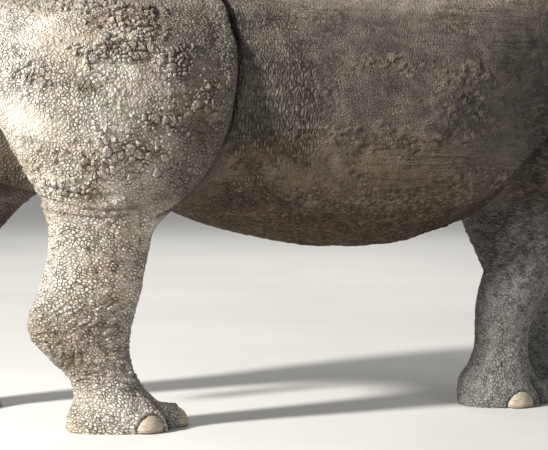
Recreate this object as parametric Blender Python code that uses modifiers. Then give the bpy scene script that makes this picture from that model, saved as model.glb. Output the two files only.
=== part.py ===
"""A life-size white rhinoceros cow, walking slowly with the head carried low.

The flesh is lofted from named sections, fused into one smooth body, thinned to a light mesh and
parted with thin cuts into the pieces that a person would name. Horns, eyes, ears, tail and toenails are
solids of their own, each set in a socket that clears it by a hair.

Frame while modelling: +X forward, +Y the animal's left, +Z up, X = 0 over the right hind foot, metres.
At the end everything moves so that the origin is the middle of the bounding box, on the ground.
"""

import math

import bmesh
import bpy
import numpy as np
from mathutils import Matrix, Vector

# ---------------------------------------------------------------- driving sizes
GAP = 0.0004  # clearance between neighbouring solids
BURIED = 0.07  # how far the leg lofts run below the ground before the soles are cut flat
CUTTER = 12.0  # edge of the blocks that make the flat cuts
VOXEL = 0.0182  # grid that fuses the lofts
FLESH_TRIANGLES = 2900  # of the fused body, before it is parted

# Trunk: distance along, top of the back, height of the widest place, belly, half width, squareness.
TRUNK = (
    (-0.560, 1.33, 1.18, 1.02, 0.09, 2.1),
    (-0.490, 1.43, 1.16, 0.92, 0.22, 2.1),
    (-0.300, 1.53, 1.15, 0.82, 0.37, 2.1),
    (-0.050, 1.58, 1.14, 0.77, 0.44, 2.1),
    (0.200, 1.57, 1.10, 0.745, 0.465, 2.1),
    (0.450, 1.53, 1.06, 0.655, 0.485, 2.1),
    (0.750, 1.51, 1.03, 0.587, 0.515, 2.15),
    (1.050, 1.54, 1.03, 0.577, 0.525, 2.2),
    (1.300, 1.61, 1.06, 0.628, 0.510, 2.5),
    (1.500, 1.68, 1.10, 0.692, 0.475, 2.4),
    (1.700, 1.715, 1.12, 0.715, 0.430, 2.2),
    (1.880, 1.66, 1.14, 0.800, 0.360, 2.1),
    (2.020, 1.53, 1.15, 0.930, 0.230, 2.1),
)

# Neck, from the shoulders to inside the head: its top line (x, z), its throat line (x, z), half width.
NECK = (
    (1.70, 1.700, 1.64, 0.80, 0.40),
    (1.93, 1.635, 1.86, 0.83, 0.365),
    (2.13, 1.545, 2.01, 0.88, 0.310),
    (2.29, 1.445, 2.10, 0.93, 0.250),
    (2.39, 1.355, 2.19, 0.95, 0.205),
    (2.44, 1.260, 2.28, 0.95, 0.170),
)

# Head frame: the crest between the ears, and how far the face hangs below the horizontal.
CREST = Vector((2.42, 0.0, 1.355))
FACE_PITCH = math.radians(50)
FACE_ALONG = Vector((math.cos(FACE_PITCH), 0.0, -math.sin(FACE_PITCH)))
FACE_OUT = Vector((math.sin(FACE_PITCH), 0.0, math.cos(FACE_PITCH)))

# Head: distance from the crest, forehead line, widest line, chin line, half width, squareness.
HEAD = (
    (-0.060, -0.050, -0.15, -0.26, 0.110, 2.2),
    (0.000, 0.000, -0.16, -0.36, 0.155, 2.3),
    (0.100, -0.010, -0.18, -0.430, 0.172, 2.4),
    (0.230, -0.040, -0.20, -0.440, 0.178, 2.4),
    (0.360, -0.050, -0.18, -0.400, 0.170, 2.4),
    (0.480, -0.035, -0.17, -0.340, 0.150, 2.5),
    (0.590, -0.015, -0.16, -0.300, 0.136, 2.6),
    (0.690, -0.010, -0.17, -0.285, 0.136, 2.8),
    (0.780, -0.035, -0.18, -0.283, 0.146, 3.2),
    (0.840, -0.085, -0.19, -0.275, 0.142, 3.4),
    (0.870, -0.140, -0.20, -0.255, 0.110, 3.0),
)

# Legs, top to ground: height, back edge, front edge, inner side, outer side, squareness in front.
LEGS = {
    "hind_right": (
        (1.46, -0.27, 0.240, 0.06, 0.300, 2.3),
        (1.38, -0.43, 0.400, 0.05, 0.430, 2.6),
        (1.27, -0.545, 0.440, 0.05, 0.505, 3.2),
        (1.12, -0.520, 0.390, 0.05, 0.540, 3.4),
        (0.98, -0.425, 0.350, 0.07, 0.540, 3.3),
        (0.88, -0.352, 0.308, 0.11, 0.518, 3.1),
        (0.80, -0.304, 0.226, 0.14, 0.495, 2.7),
        (0.70, -0.280, 0.098, 0.18, 0.472, 2.25),
        (0.59, -0.288, 0.064, 0.20, 0.455, 2.25),
        (0.49, -0.318, 0.048, 0.215, 0.440, 2.25),
        (0.40, -0.357, 0.026, 0.225, 0.430, 2.25),
        (0.33, -0.352, 0.006, 0.230, 0.425, 2.25),
        (0.26, -0.290, 0.004, 0.235, 0.420, 2.25),
        (0.20, -0.228, 0.020, 0.232, 0.425, 2.25),
        (0.13, -0.192, 0.066, 0.215, 0.440, 2.25),
        (0.07, -0.208, 0.130, 0.195, 0.462, 2.25),
        (0.00, -0.216, 0.170, 0.190, 0.468, 2.25),
    ),
    "hind_left": (
        (1.46, -0.29, 0.200, 0.06, 0.300, 2.3),
        (1.38, -0.45, 0.350, 0.05, 0.430, 2.6),
        (1.27, -0.57, 0.370, 0.05, 0.505, 3.0),
        (1.12, -0.60, 0.280, 0.05, 0.535, 3.0),
        (0.98, -0.58, 0.145, 0.07, 0.530, 2.8),
        (0.87, -0.56, -0.030, 0.11, 0.505, 2.5),
        (0.77, -0.575, -0.148, 0.15, 0.480, 2.3),
        (0.68, -0.615, -0.245, 0.18, 0.460, 2.25),
        (0.59, -0.67, -0.332, 0.20, 0.450, 2.25),
        (0.50, -0.728, -0.405, 0.215, 0.440, 2.25),
        (0.42, -0.755, -0.450, 0.225, 0.430, 2.25),
        (0.34, -0.745, -0.480, 0.230, 0.425, 2.25),
        (0.26, -0.700, -0.478, 0.235, 0.420, 2.25),
        (0.20, -0.672, -0.455, 0.232, 0.425, 2.25),
        (0.13, -0.661, -0.415, 0.215, 0.440, 2.25),
        (0.07, -0.684, -0.355, 0.195, 0.462, 2.25),
        (0.00, -0.692, -0.315, 0.190, 0.468, 2.25),
    ),
    "fore_right": (
        (1.46, 1.57, 1.78, 0.08, 0.290, 2.25),
        (1.36, 1.51, 1.88, 0.08, 0.390, 2.25),
        (1.22, 1.48, 1.95, 0.08, 0.450, 2.25),
        (1.05, 1.47, 1.98, 0.08, 0.460, 2.25),
        (0.90, 1.48, 1.97, 0.10, 0.435, 2.25),
        (0.78, 1.475, 1.92, 0.13, 0.420, 2.25),
        (0.68, 1.450, 1.855, 0.16, 0.420, 2.25),
        (0.58, 1.412, 1.776, 0.175, 0.418, 2.25),
        (0.48, 1.388, 1.690, 0.185, 0.414, 2.25),
        (0.39, 1.366, 1.617, 0.192, 0.410, 2.25),
        (0.30, 1.358, 1.569, 0.200, 0.402, 2.25),
        (0.22, 1.358, 1.552, 0.200, 0.402, 2.25),
        (0.15, 1.335, 1.562, 0.185, 0.418, 2.25),
        (0.09, 1.296, 1.588, 0.160, 0.440, 2.25),
        (0.04, 1.298, 1.620, 0.155, 0.446, 2.25),
        (0.00, 1.302, 1.628, 0.155, 0.446, 2.25),
    ),
    "fore_left": (
        (1.46, 1.60, 1.82, 0.08, 0.290, 2.25),
        (1.36, 1.55, 1.92, 0.08, 0.390, 2.25),
        (1.22, 1.52, 2.00, 0.08, 0.450, 2.25),
        (1.05, 1.52, 2.04, 0.08, 0.460, 2.25),
        (0.90, 1.53, 2.05, 0.10, 0.435, 2.25),
        (0.78, 1.545, 2.03, 0.13, 0.420, 2.25),
        (0.68, 1.575, 2.00, 0.16, 0.420, 2.25),
        (0.58, 1.620, 1.99, 0.175, 0.418, 2.25),
        (0.48, 1.672, 1.985, 0.185, 0.414, 2.25),
        (0.39, 1.718, 1.985, 0.192, 0.410, 2.25),
        (0.30, 1.762, 1.990, 0.200, 0.402, 2.25),
        (0.22, 1.795, 1.995, 0.200, 0.402, 2.25),
        (0.15, 1.795, 2.022, 0.185, 0.418, 2.25),
        (0.09, 1.778, 2.070, 0.160, 0.440, 2.25),
        (0.04, 1.782, 2.104, 0.155, 0.446, 2.25),
        (0.00, 1.786, 2.112, 0.155, 0.446, 2.25),
    ),
}
# A leg's section is narrower behind than in front by this share, from KNEE_TOP down.
LEG_TAPER = {"hind": 0.22, "fore": 0.10}
KNEE_TOP, KNEE_SPAN = 0.85, 0.20
OVAL = 2.25  # squareness of the back of every leg
SIDES = {"right": -1, "left": 1}

# Toes: bearing from straight ahead (outward positive), how far ahead of the sole's middle and how far
# out, as shares of the sole's half length and half width, and the toe's half width.
TOES = {
    "hind": ((0, 0.80, 0.0, 0.066), (72, 0.24, 0.54, 0.064), (-72, 0.26, -0.54, 0.060)),
    "fore": ((4, 0.78, 0.10, 0.070), (72, -0.02, 0.54, 0.068), (-68, 0.16, -0.54, 0.062)),
}
TOE_LENGTH, TOE_HEIGHT, TOE_RISE = 0.072, 0.058, 0.030
TOE_SWELL = 1.10  # the toe's pad is this much wider than the toe
NAIL_DEPTH, NAIL_HEIGHT, NAIL_RISE = 0.044, 0.058, 0.007
NAIL_SHARE = 0.86  # nail width as a share of the toe's
NAIL_FORWARD = 0.044  # the nail's middle sits this far in front of the toe's
NAIL_FOOT = 0.004  # the soles carry the weight; the nails end this far above the ground

# Horns: distance along the face, base radii (along the face, across), length, backward curl in degrees.
HORNS = {
    "horn_front": (0.705, 0.098, 0.083, 0.56, 52),
    "horn_rear": (0.505, 0.082, 0.066, 0.235, 26),
}
HORN_ROOT = 0.05  # how far a horn's base sits in the head
HORN_LEAN = 0.06  # how far a horn's root leans towards the nose
HORN_STEPS, HORN_SIDES = 12, 10
HORN_TIP = 0.055  # blunt end, as a share of the base

EYE_ALONG, EYE_DOWN, EYE_SIDE, EYE_RADIUS = 0.400, -0.150, 0.154, 0.0165

EAR_ALONG, EAR_DOWN, EAR_SIDE = 0.045, -0.045, 0.118
EAR_UP = Vector((-0.10, 0.46, 0.88))  # the left ear's direction
EAR_OPEN = Vector((0.72, 0.62, 0.0))  # where its cup faces
EAR_LENGTH = 0.275
EAR_WALL = 0.011
EAR_SIDES, EAR_STEPS = 10, 10
EAR_THIN = 0.004  # least half size of a section
# Ear: share of the length, half width, half depth, how far the section sits behind the root.
EAR = (
    (0.00, 0.040, 0.040, 0.000),
    (0.18, 0.044, 0.043, 0.002),
    (0.38, 0.057, 0.046, 0.006),
    (0.58, 0.063, 0.042, 0.010),
    (0.78, 0.052, 0.030, 0.012),
    (0.93, 0.028, 0.018, 0.010),
    (1.00, 0.012, 0.011, 0.008),
)
EAR_HOLLOW = (0.20, 0.96)  # the cup's reach, as shares of the length

# Tail: x, z, half width, half depth.
TAIL = (
    (-0.500, 1.360, 0.060, 0.050),
    (-0.570, 1.310, 0.054, 0.045),
    (-0.622, 1.200, 0.044, 0.037),
    (-0.648, 1.050, 0.034, 0.028),
    (-0.655, 0.900, 0.027, 0.022),
    (-0.650, 0.780, 0.023, 0.017),
    (-0.644, 0.715, 0.016, 0.011),
)

TAIL_STEPS, TAIL_SIDES = 11, 8

# Parting lines, each a point and the direction that looks at the smaller piece.
KNEE = {"hind": 0.755, "fore": 0.640}
ANKLE = {"hind": 0.165, "fore": 0.165}
NECK_CUT = (Vector((2.00, 0.0, 1.20)), Vector((0.970, 0.0, -0.243)))
HEAD_CUT = (CREST - 0.035 * FACE_ALONG - 0.02 * FACE_OUT, Vector((0.80, 0.0, -0.60)))
JAW_CUT = (CREST + 0.870 * FACE_ALONG - 0.235 * FACE_OUT, -FACE_OUT + 0.055 * FACE_ALONG)
LEG_INNER = 0.115  # the leg pieces start this far from the middle of the body
BLOCK_REACH = 0.90  # and the blocks that cut them out end this far out

# Outline of each leg's piece seen from the side, as distance and height; it runs round the limb's root.
HIND_OUTLINE = (
    (-1.10, -0.20), (-1.10, 0.90), (-0.72, 1.05), (-0.62, 1.27), (-0.50, 1.42), (-0.28, 1.52),
    (0.02, 1.53), (0.26, 1.46), (0.385, 1.32), (0.385, 1.18), (0.350, 1.02), (0.285, 0.89),
    (0.220, 0.80), (0.185, 0.735), (0.45, 0.50), (0.45, -0.20),
)  # fmt: skip
FORE_OUTLINE = (
    (0.95, -0.20), (0.95, 0.45), (1.300, 0.570), (1.430, 0.630), (1.455, 0.80), (1.480, 1.00),
    (1.480, 1.20), (1.510, 1.36), (1.610, 1.48), (1.760, 1.49), (1.890, 1.37), (1.965, 1.20),
    (2.02, 1.02), (2.10, 0.85), (2.40, 0.60), (2.40, -0.20),
)  # fmt: skip
LEFT_SHIFT = {"hind": -0.035, "fore": 0.045}  # the left limbs' roots sit this much further forward

MATERIALS = {  # colour, roughness
    "hide": ((0.255, 0.225, 0.195, 1.0), 0.85),
    "horn": ((0.150, 0.125, 0.100, 1.0), 0.60),
    "nail": ((0.290, 0.245, 0.200, 1.0), 0.55),
    "eye": ((0.020, 0.012, 0.008, 1.0), 0.08),
}


# ---------------------------------------------------------------- scene and small tools
def clear_scene():
    for obj in list(bpy.data.objects):
        bpy.data.objects.remove(obj)


def collection(name):
    made = bpy.data.collections.new(name)
    bpy.context.scene.collection.children.link(made)
    return made


def material(name):
    colour, roughness = MATERIALS[name]
    made = bpy.data.materials.new(name)
    made.use_nodes = True
    shader = made.node_tree.nodes["Principled BSDF"]
    shader.inputs["Base Color"].default_value = colour
    shader.inputs["Roughness"].default_value = roughness
    shader.inputs["Metallic"].default_value = 0.0
    return made


def new_object(name, bm, home):
    """A mesh object from bm, which is used up."""
    mesh = bpy.data.meshes.new(name)
    bmesh.ops.recalc_face_normals(bm, faces=bm.faces)
    bm.to_mesh(mesh)
    bm.free()
    made = bpy.data.objects.new(name, mesh)
    home.objects.link(made)
    return made


def eased(stations, count):
    """Catmull-Rom through the stations' numbers: count rows, evenly spaced by station."""
    rows = np.array(stations, float)
    padded = np.vstack([2 * rows[0] - rows[1], rows, 2 * rows[-1] - rows[-2]])
    out = []
    for place in np.linspace(0, len(rows) - 1, count):
        i = min(int(place), len(rows) - 2)
        t = place - i
        a, b, c, d = padded[i : i + 4]
        out.append(
            0.5 * (2 * b + (c - a) * t + (2 * a - 5 * b + 4 * c - d) * t**2 + (3 * b - a - 3 * c + d) * t**3)
        )
    return out


def superellipse(angle, squareness):
    """A point on a unit oval whose corners fill out as squareness rises above 2."""
    power = 2.0 / squareness
    c, s = math.cos(angle), math.sin(angle)
    return math.copysign(abs(c) ** power, c), math.copysign(abs(s) ** power, s)


def loft(name, rings, home):
    """A closed skin over rings of equal length, with flat ends."""
    bm = bmesh.new()
    loops = [[bm.verts.new(point) for point in ring] for ring in rings]
    count = len(loops[0])
    for low, high in zip(loops, loops[1:]):
        for i in range(count):
            j = (i + 1) % count
            bm.faces.new((low[i], low[j], high[j]))
            bm.faces.new((low[i], high[j], high[i]))
    bm.faces.new(loops[0])
    bm.faces.new(loops[-1])
    return new_object(name, bm, home)


def turned(count):
    """Angles of the points round a section."""
    return [2 * math.pi * i / count for i in range(count)]


# ---------------------------------------------------------------- lofts of the flesh
def trunk_loft(home):
    rings = []
    for x, top, widest, bottom, half, squareness in eased(TRUNK, 52):
        ring = []
        for angle in turned(40):
            side, up = superellipse(angle, squareness)
            reach = top - widest if up > 0 else widest - bottom
            ring.append((x, side * half, widest + up * reach))
        rings.append(ring)
    return loft("trunk_loft", rings, home)


def neck_loft(home):
    rings = []
    for top_x, top_z, low_x, low_z, half in eased(NECK, 24):
        top, low = Vector((top_x, 0, top_z)), Vector((low_x, 0, low_z))
        ring = []
        for angle in turned(36):
            side, up = superellipse(angle, 2.15)
            ring.append((top + low) / 2 + (top - low) / 2 * up + Vector((0, side * half, 0)))
        rings.append(ring)
    return loft("neck_loft", rings, home)


def face_point(along, out, side=0.0):
    """A place in the head's own frame: along the face, out from the forehead line, to the left."""
    return CREST + FACE_ALONG * along + FACE_OUT * out + Vector((0.0, side, 0.0))


def head_loft(home):
    rings = []
    for along, brow, widest, chin, half, squareness in eased(HEAD, 44):
        ring = []
        for angle in turned(40):
            side, up = superellipse(angle, squareness)
            reach = brow - widest if up > 0 else widest - chin
            ring.append(face_point(along, widest + up * reach, side * half))
        rings.append(ring)
    return loft("head_loft", rings, home)


def leg_loft(limb, home):
    end, side_name = limb.split("_")
    side = SIDES[side_name]
    rings = []
    stations = list(LEGS[limb]) + [(-BURIED, *LEGS[limb][-1][1:])]
    for height, back, front, inner, outer, squareness in eased(stations, 60):
        middle_x, middle_y = (back + front) / 2, (inner + outer) / 2
        long, wide = (front - back) / 2, (outer - inner) / 2
        taper = LEG_TAPER[end] * min(1.0, max(0.0, (KNEE_TOP - height) / KNEE_SPAN))
        ring = []
        for angle in turned(36):
            ahead, across = superellipse(angle, squareness if math.cos(angle) > 0 else OVAL)
            y = middle_y + across * wide * (1 + taper * (ahead - 0.15))
            ring.append((middle_x + ahead * long, side * y, height))
        rings.append(ring)
    return loft("leg_loft_" + limb, rings, home)


def toe_places(limb):
    """For each toe: its middle at ground level, the direction it points in and its half width."""
    end, side_name = limb.split("_")
    side = SIDES[side_name]
    _, back, front, inner, outer, _ = LEGS[limb][-1]
    middle = Vector(((back + front) / 2, side * (inner + outer) / 2, 0.0))
    long, wide = (front - back) / 2, (outer - inner) / 2
    for bearing, forward, outward, half in TOES[end]:
        a = math.radians(bearing)
        ahead = Vector((math.cos(a), side * math.sin(a), 0.0))
        yield middle + Vector((forward * long, side * outward * wide, 0.0)), ahead, half


def ball(name, place, ahead, radii, home, segments, rings):
    """An ellipsoid whose first radius lies along ahead, the second across it and the third upright."""
    bm = bmesh.new()
    bmesh.ops.create_uvsphere(bm, u_segments=segments, v_segments=rings, radius=1.0)
    across = Vector((0, 0, 1)).cross(ahead)
    frame = Matrix((ahead * radii[0], across * radii[1], Vector((0, 0, radii[2])))).transposed().to_4x4()
    bmesh.ops.transform(bm, matrix=Matrix.Translation(place) @ frame, verts=bm.verts)
    return new_object(name, bm, home)


def toe_balls(limb, home):
    for number, (place, ahead, half) in enumerate(toe_places(limb)):
        middle = place + Vector((0, 0, TOE_RISE))
        ball(f"toe_{limb}_{number}", middle, ahead, (TOE_LENGTH, half * TOE_SWELL, TOE_HEIGHT), home, 16, 10)


# ---------------------------------------------------------------- pieces set in sockets
def horn_rings(name, grow=0.0):
    """A horn's sections: broad at the face, tapering along an arc that curls back."""
    along, long, wide, length, curl = HORNS[name]
    place = face_point(along, -HORN_ROOT)
    heading = (FACE_OUT + HORN_LEAN * FACE_ALONG).normalized()
    step = (length + HORN_ROOT) / HORN_STEPS
    rings = []
    for i in range(HORN_STEPS + 1):
        t = i / HORN_STEPS
        waist = 1 - 0.28 * math.sin(math.pi * min(1.0, t * 1.6)) * (1 - t)
        taper = max((1 - t) ** 0.62 * waist, HORN_TIP)
        fore_aft = heading.cross(Vector((0, 1, 0)))
        ring = []
        for angle in turned(HORN_SIDES):
            c, s = superellipse(angle, 2.3)
            aside = Vector((0, s * (wide * taper + grow), 0))
            ring.append(place + fore_aft * c * (long * taper + grow) + aside)
        if i == 0:
            ring = [point - heading * grow for point in ring]
        rings.append(ring)
        turn = Matrix.Rotation(-math.radians(curl) / HORN_STEPS, 3, "Y")
        place = place + heading * step
        heading = turn @ heading
    return rings


def horn(name, home, grow=0.0):
    return loft(name, horn_rings(name, grow), home)


def eye(side_name, home, grow=0.0):
    side = SIDES[side_name]
    place = face_point(EYE_ALONG, EYE_DOWN, side * EYE_SIDE)
    radius = EYE_RADIUS + grow
    return ball("eye_" + side_name, place, Vector((1, 0, 0)), (radius,) * 3, home, 10, 7)


def ear_frame(side):
    """The ear's root and its axes: along the ear, towards its open side, and across."""
    root = face_point(EAR_ALONG, EAR_DOWN, side * EAR_SIDE)
    mirror = Vector((1, side, 1))
    along = (EAR_UP * mirror).normalized()
    facing = EAR_OPEN * mirror
    facing = (facing - along * facing.dot(along)).normalized()
    return root, along, facing, along.cross(facing)


def ear_rings(side, inset, first, last, grow=0.0):
    """Sections of the ear between two shares of its length. inset thins them, for the hollow."""
    root, along, facing, across = ear_frame(side)
    rings = []
    for share, wide, deep, behind in eased(EAR, EAR_STEPS):
        if not first <= share <= last:
            continue
        end = grow if share > 0.99 else -grow if share < 0.01 else 0.0
        rings.append(
            [
                root
                + along * (share * EAR_LENGTH + end)
                + facing * (math.cos(a) * max(deep - inset + grow, EAR_THIN) - behind + 2.2 * inset)
                + across * (math.sin(a) * max(wide - inset + grow, EAR_THIN))
                for a in turned(EAR_SIDES)
            ]
        )
    return rings


def ear(side_name, home, grow=0.0):
    side = SIDES[side_name]
    name = "ear_" + side_name
    made = loft(name, ear_rings(side, 0.0, 0.0, 1.0, grow), home)
    if grow == 0.0:
        cup = loft(name + "_cup", ear_rings(side, EAR_WALL, *EAR_HOLLOW), home)
        combine(made, cup, "DIFFERENCE")
    return made


def tail(home, grow=0.0):
    rings = []
    rows = eased(TAIL, TAIL_STEPS)
    for i, (x, z, wide, deep) in enumerate(rows):
        before, after = rows[max(i - 1, 0)], rows[min(i + 1, len(rows) - 1)]
        heading = Vector((after[0] - before[0], 0, after[1] - before[1])).normalized()
        rear = heading.cross(Vector((0, 1, 0)))
        end = heading * (grow if i == len(rows) - 1 else -grow if i == 0 else 0.0)
        ring = []
        for angle in turned(TAIL_SIDES):
            fore_aft = rear * math.cos(angle) * (deep + grow)
            ring.append(Vector((x, math.sin(angle) * (wide + grow), z)) + end + fore_aft)
        rings.append(ring)
    return loft("tail", rings, home)


def nail(limb, number, place, ahead, half, where, work, grow=0.0):
    """A toenail: an upright oval plate, cut flat where it meets the ground."""
    radii = (NAIL_DEPTH + grow, half * NAIL_SHARE + grow, NAIL_HEIGHT + grow)
    middle = place + ahead * NAIL_FORWARD + Vector((0, 0, NAIL_RISE))
    made = ball(f"nail_{limb}_{number}", middle, ahead, radii, where, 8, 6)
    foot = NAIL_FOOT if grow == 0.0 else -NAIL_FOOT  # a socket runs out through the sole
    cut_flat(made, Vector((0, 0, foot)), Vector((0, 0, -1)), work)
    return made


# ---------------------------------------------------------------- fusing and parting
def evaluated_mesh(obj):
    graph = bpy.context.evaluated_depsgraph_get()
    return bpy.data.meshes.new_from_object(obj.evaluated_get(graph))


def settle(obj):
    """Turns the object's modifiers into its mesh."""
    mesh = evaluated_mesh(obj)
    obj.modifiers.clear()
    obj.data = mesh


def combine(obj, other, operation):
    """Boolean of obj with other, which is used up."""
    modifier = obj.modifiers.new("cut", "BOOLEAN")
    modifier.object = other
    modifier.operation = operation
    modifier.solver = "EXACT"
    settle(obj)
    bpy.data.objects.remove(other)


def cut_flat(obj, point, away, work):
    """Takes off what lies beyond the plane through point that faces away."""
    bm = bmesh.new()
    bmesh.ops.create_cube(bm, size=CUTTER)
    turn = away.to_track_quat("Z", "Y").to_matrix().to_4x4()
    place = Matrix.Translation(point + away.normalized() * CUTTER / 2)
    bmesh.ops.transform(bm, matrix=place @ turn, verts=bm.verts)
    combine(obj, new_object("slab", bm, work), "DIFFERENCE")


def part_off(obj, name, point, towards, work):
    """Parts obj at a plane. The piece on the side that towards looks at gets the name."""
    towards = towards.normalized()
    piece = obj.copy()
    piece.data = obj.data.copy()
    piece.name = piece.data.name = name
    obj.users_collection[0].objects.link(piece)
    cut_flat(obj, point - towards * GAP / 2, towards, work)
    cut_flat(piece, point + towards * GAP / 2, -towards, work)
    return piece


def fused_flesh(home, work):
    """All the lofts as one smooth body, standing on flat soles."""
    trunk_loft(work)
    neck_loft(work)
    head_loft(work)
    for limb in LEGS:
        leg_loft(limb, work)
        toe_balls(limb, work)
    bm = bmesh.new()
    for obj in list(work.objects):
        bm.from_mesh(obj.data)
        bpy.data.objects.remove(obj)
    body = new_object("trunk", bm, home)
    remesh = body.modifiers.new("fuse", "REMESH")
    remesh.mode = "VOXEL"
    remesh.voxel_size = VOXEL
    smooth = body.modifiers.new("soften", "SMOOTH")
    smooth.factor = 0.5
    smooth.iterations = 5
    settle(body)
    thin = body.modifiers.new("thin", "DECIMATE")
    thin.ratio = FLESH_TRIANGLES / (2 * len(body.data.polygons))
    settle(body)
    cut_flat(body, Vector((0, 0, 0)), Vector((0, 0, -1)), work)
    return body


def grown(outline, amount):
    """The outline pushed out by amount all round."""
    points = [Vector(p) for p in outline]
    around = sum(a.x * b.y - b.x * a.y for a, b in zip(points, points[1:] + points[:1]))
    hand = 1.0 if around > 0 else -1.0
    out = []
    for i, point in enumerate(points):
        before = (point - points[i - 1]).normalized()
        after = (points[(i + 1) % len(points)] - point).normalized()
        away = Vector((before.y + after.y, -before.x - after.x)).normalized() * hand
        square = Vector((before.y, -before.x)) * hand
        out.append(point + away * (amount / away.dot(square)))
    return out


def outline_block(outline, side, grow, shift, home):
    """A closed block from near the body's middle outwards, its outline seen from the side."""
    near = side * (LEG_INNER - grow)
    bm = bmesh.new()
    corners = [bm.verts.new((p.x + shift, near, p.y)) for p in grown(outline, grow)]
    face = bm.faces.new(corners)
    added = bmesh.ops.extrude_face_region(bm, geom=[face])["geom"]
    moved = [v for v in added if isinstance(v, bmesh.types.BMVert)]
    bmesh.ops.translate(bm, vec=(0, side * BLOCK_REACH - near, 0), verts=moved)
    return new_object("block", bm, home)


def take_leg(body, limb, work):
    """Parts one leg, with its shoulder or haunch, from the body."""
    end, side_name = limb.split("_")
    side = SIDES[side_name]
    outline = HIND_OUTLINE if end == "hind" else FORE_OUTLINE
    shift = LEFT_SHIFT[end] if side_name == "left" else 0.0
    piece = body.copy()
    piece.data = body.data.copy()
    piece.name = f"leg_{limb}_upper"
    body.users_collection[0].objects.link(piece)
    combine(piece, outline_block(outline, side, 0.0, shift, work), "INTERSECT")
    combine(body, outline_block(outline, side, GAP, shift, work), "DIFFERENCE")
    foot = part_off(piece, f"foot_{limb}", Vector((0, 0, ANKLE[end])), Vector((0, 0, -1)), work)
    lower = part_off(piece, f"leg_{limb}_lower", Vector((0, 0, KNEE[end])), Vector((0, 0, -1)), work)
    return piece, lower, foot


def set_in(hosts, make, home, work):
    """Makes a piece, and clears its socket in each host."""
    for host in hosts:
        combine(host, make(work, GAP), "DIFFERENCE")
    return make(home, 0.0)


def finish_piece(obj, look):
    obj.data.materials.clear()
    obj.data.materials.append(look)
    obj.data.name = obj.name
    obj.data.shade_smooth()
    obj.data.set_sharp_from_angle(angle=math.radians(42))


def centre_on_ground(objects):
    """Moves all the pieces so that the origin is the middle of their box, at its bottom."""
    points = np.array([v.co for obj in objects for v in obj.data.vertices])
    low, high = points.min(0), points.max(0)
    move = Vector((-(low[0] + high[0]) / 2, -(low[1] + high[1]) / 2, -low[2]))
    for obj in objects:
        obj.data.transform(Matrix.Translation(move))


def build():
    clear_scene()
    home = collection("white_rhinoceros")
    work = collection("cutters")
    looks = {name: material(name) for name in MATERIALS}

    body = fused_flesh(home, work)
    for limb in LEGS:
        upper, lower, foot = take_leg(body, limb, work)
        for number, (place, ahead, half) in enumerate(toe_places(limb)):
            made = set_in(
                [foot],
                lambda where, grow: nail(limb, number, place, ahead, half, where, work, grow),
                home,
                work,
            )
            finish_piece(made, looks["nail"])
        for piece in (upper, lower, foot):
            finish_piece(piece, looks["hide"])

    neck = part_off(body, "neck", *NECK_CUT, work)
    head = part_off(neck, "head", *HEAD_CUT, work)
    for name in HORNS:
        made = set_in([head], lambda where, grow: horn(name, where, grow), home, work)
        finish_piece(made, looks["horn"])
    for side_name in SIDES:
        made = set_in([head], lambda where, grow: eye(side_name, where, grow), home, work)
        finish_piece(made, looks["eye"])
        made = set_in([head, neck], lambda where, grow: ear(side_name, where, grow), home, work)
        finish_piece(made, looks["hide"])
    finish_piece(set_in([body], lambda where, grow: tail(where, grow), home, work), looks["hide"])
    jaw = part_off(head, "lower_jaw", *JAW_CUT, work)
    for piece in (body, neck, head, jaw):
        finish_piece(piece, looks["hide"])
    centre_on_ground(list(home.objects))


build()
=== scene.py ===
"""Looks for a life-size white rhinoceros cow: hide, horns, eyes, nails, ear fringes and tail tuft.

The hide is one skin. It repeats the lofts of the solids at a fine grain, is fused, sculpted with folds,
lids, nostrils and lips, then covered with the lumps, rows and cracks of dried mud on thick skin.
Shapes are worked out in the frame that the lofts are written in (X = 0 over the right hind foot, +X
forward, +Y the animal's left, +Z up, metres) and moved to the row frame at the end.
"""

import itertools
import math

import bmesh
import bpy
import numpy as np
from mathutils import Matrix, Vector
from mathutils.kdtree import KDTree


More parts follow.
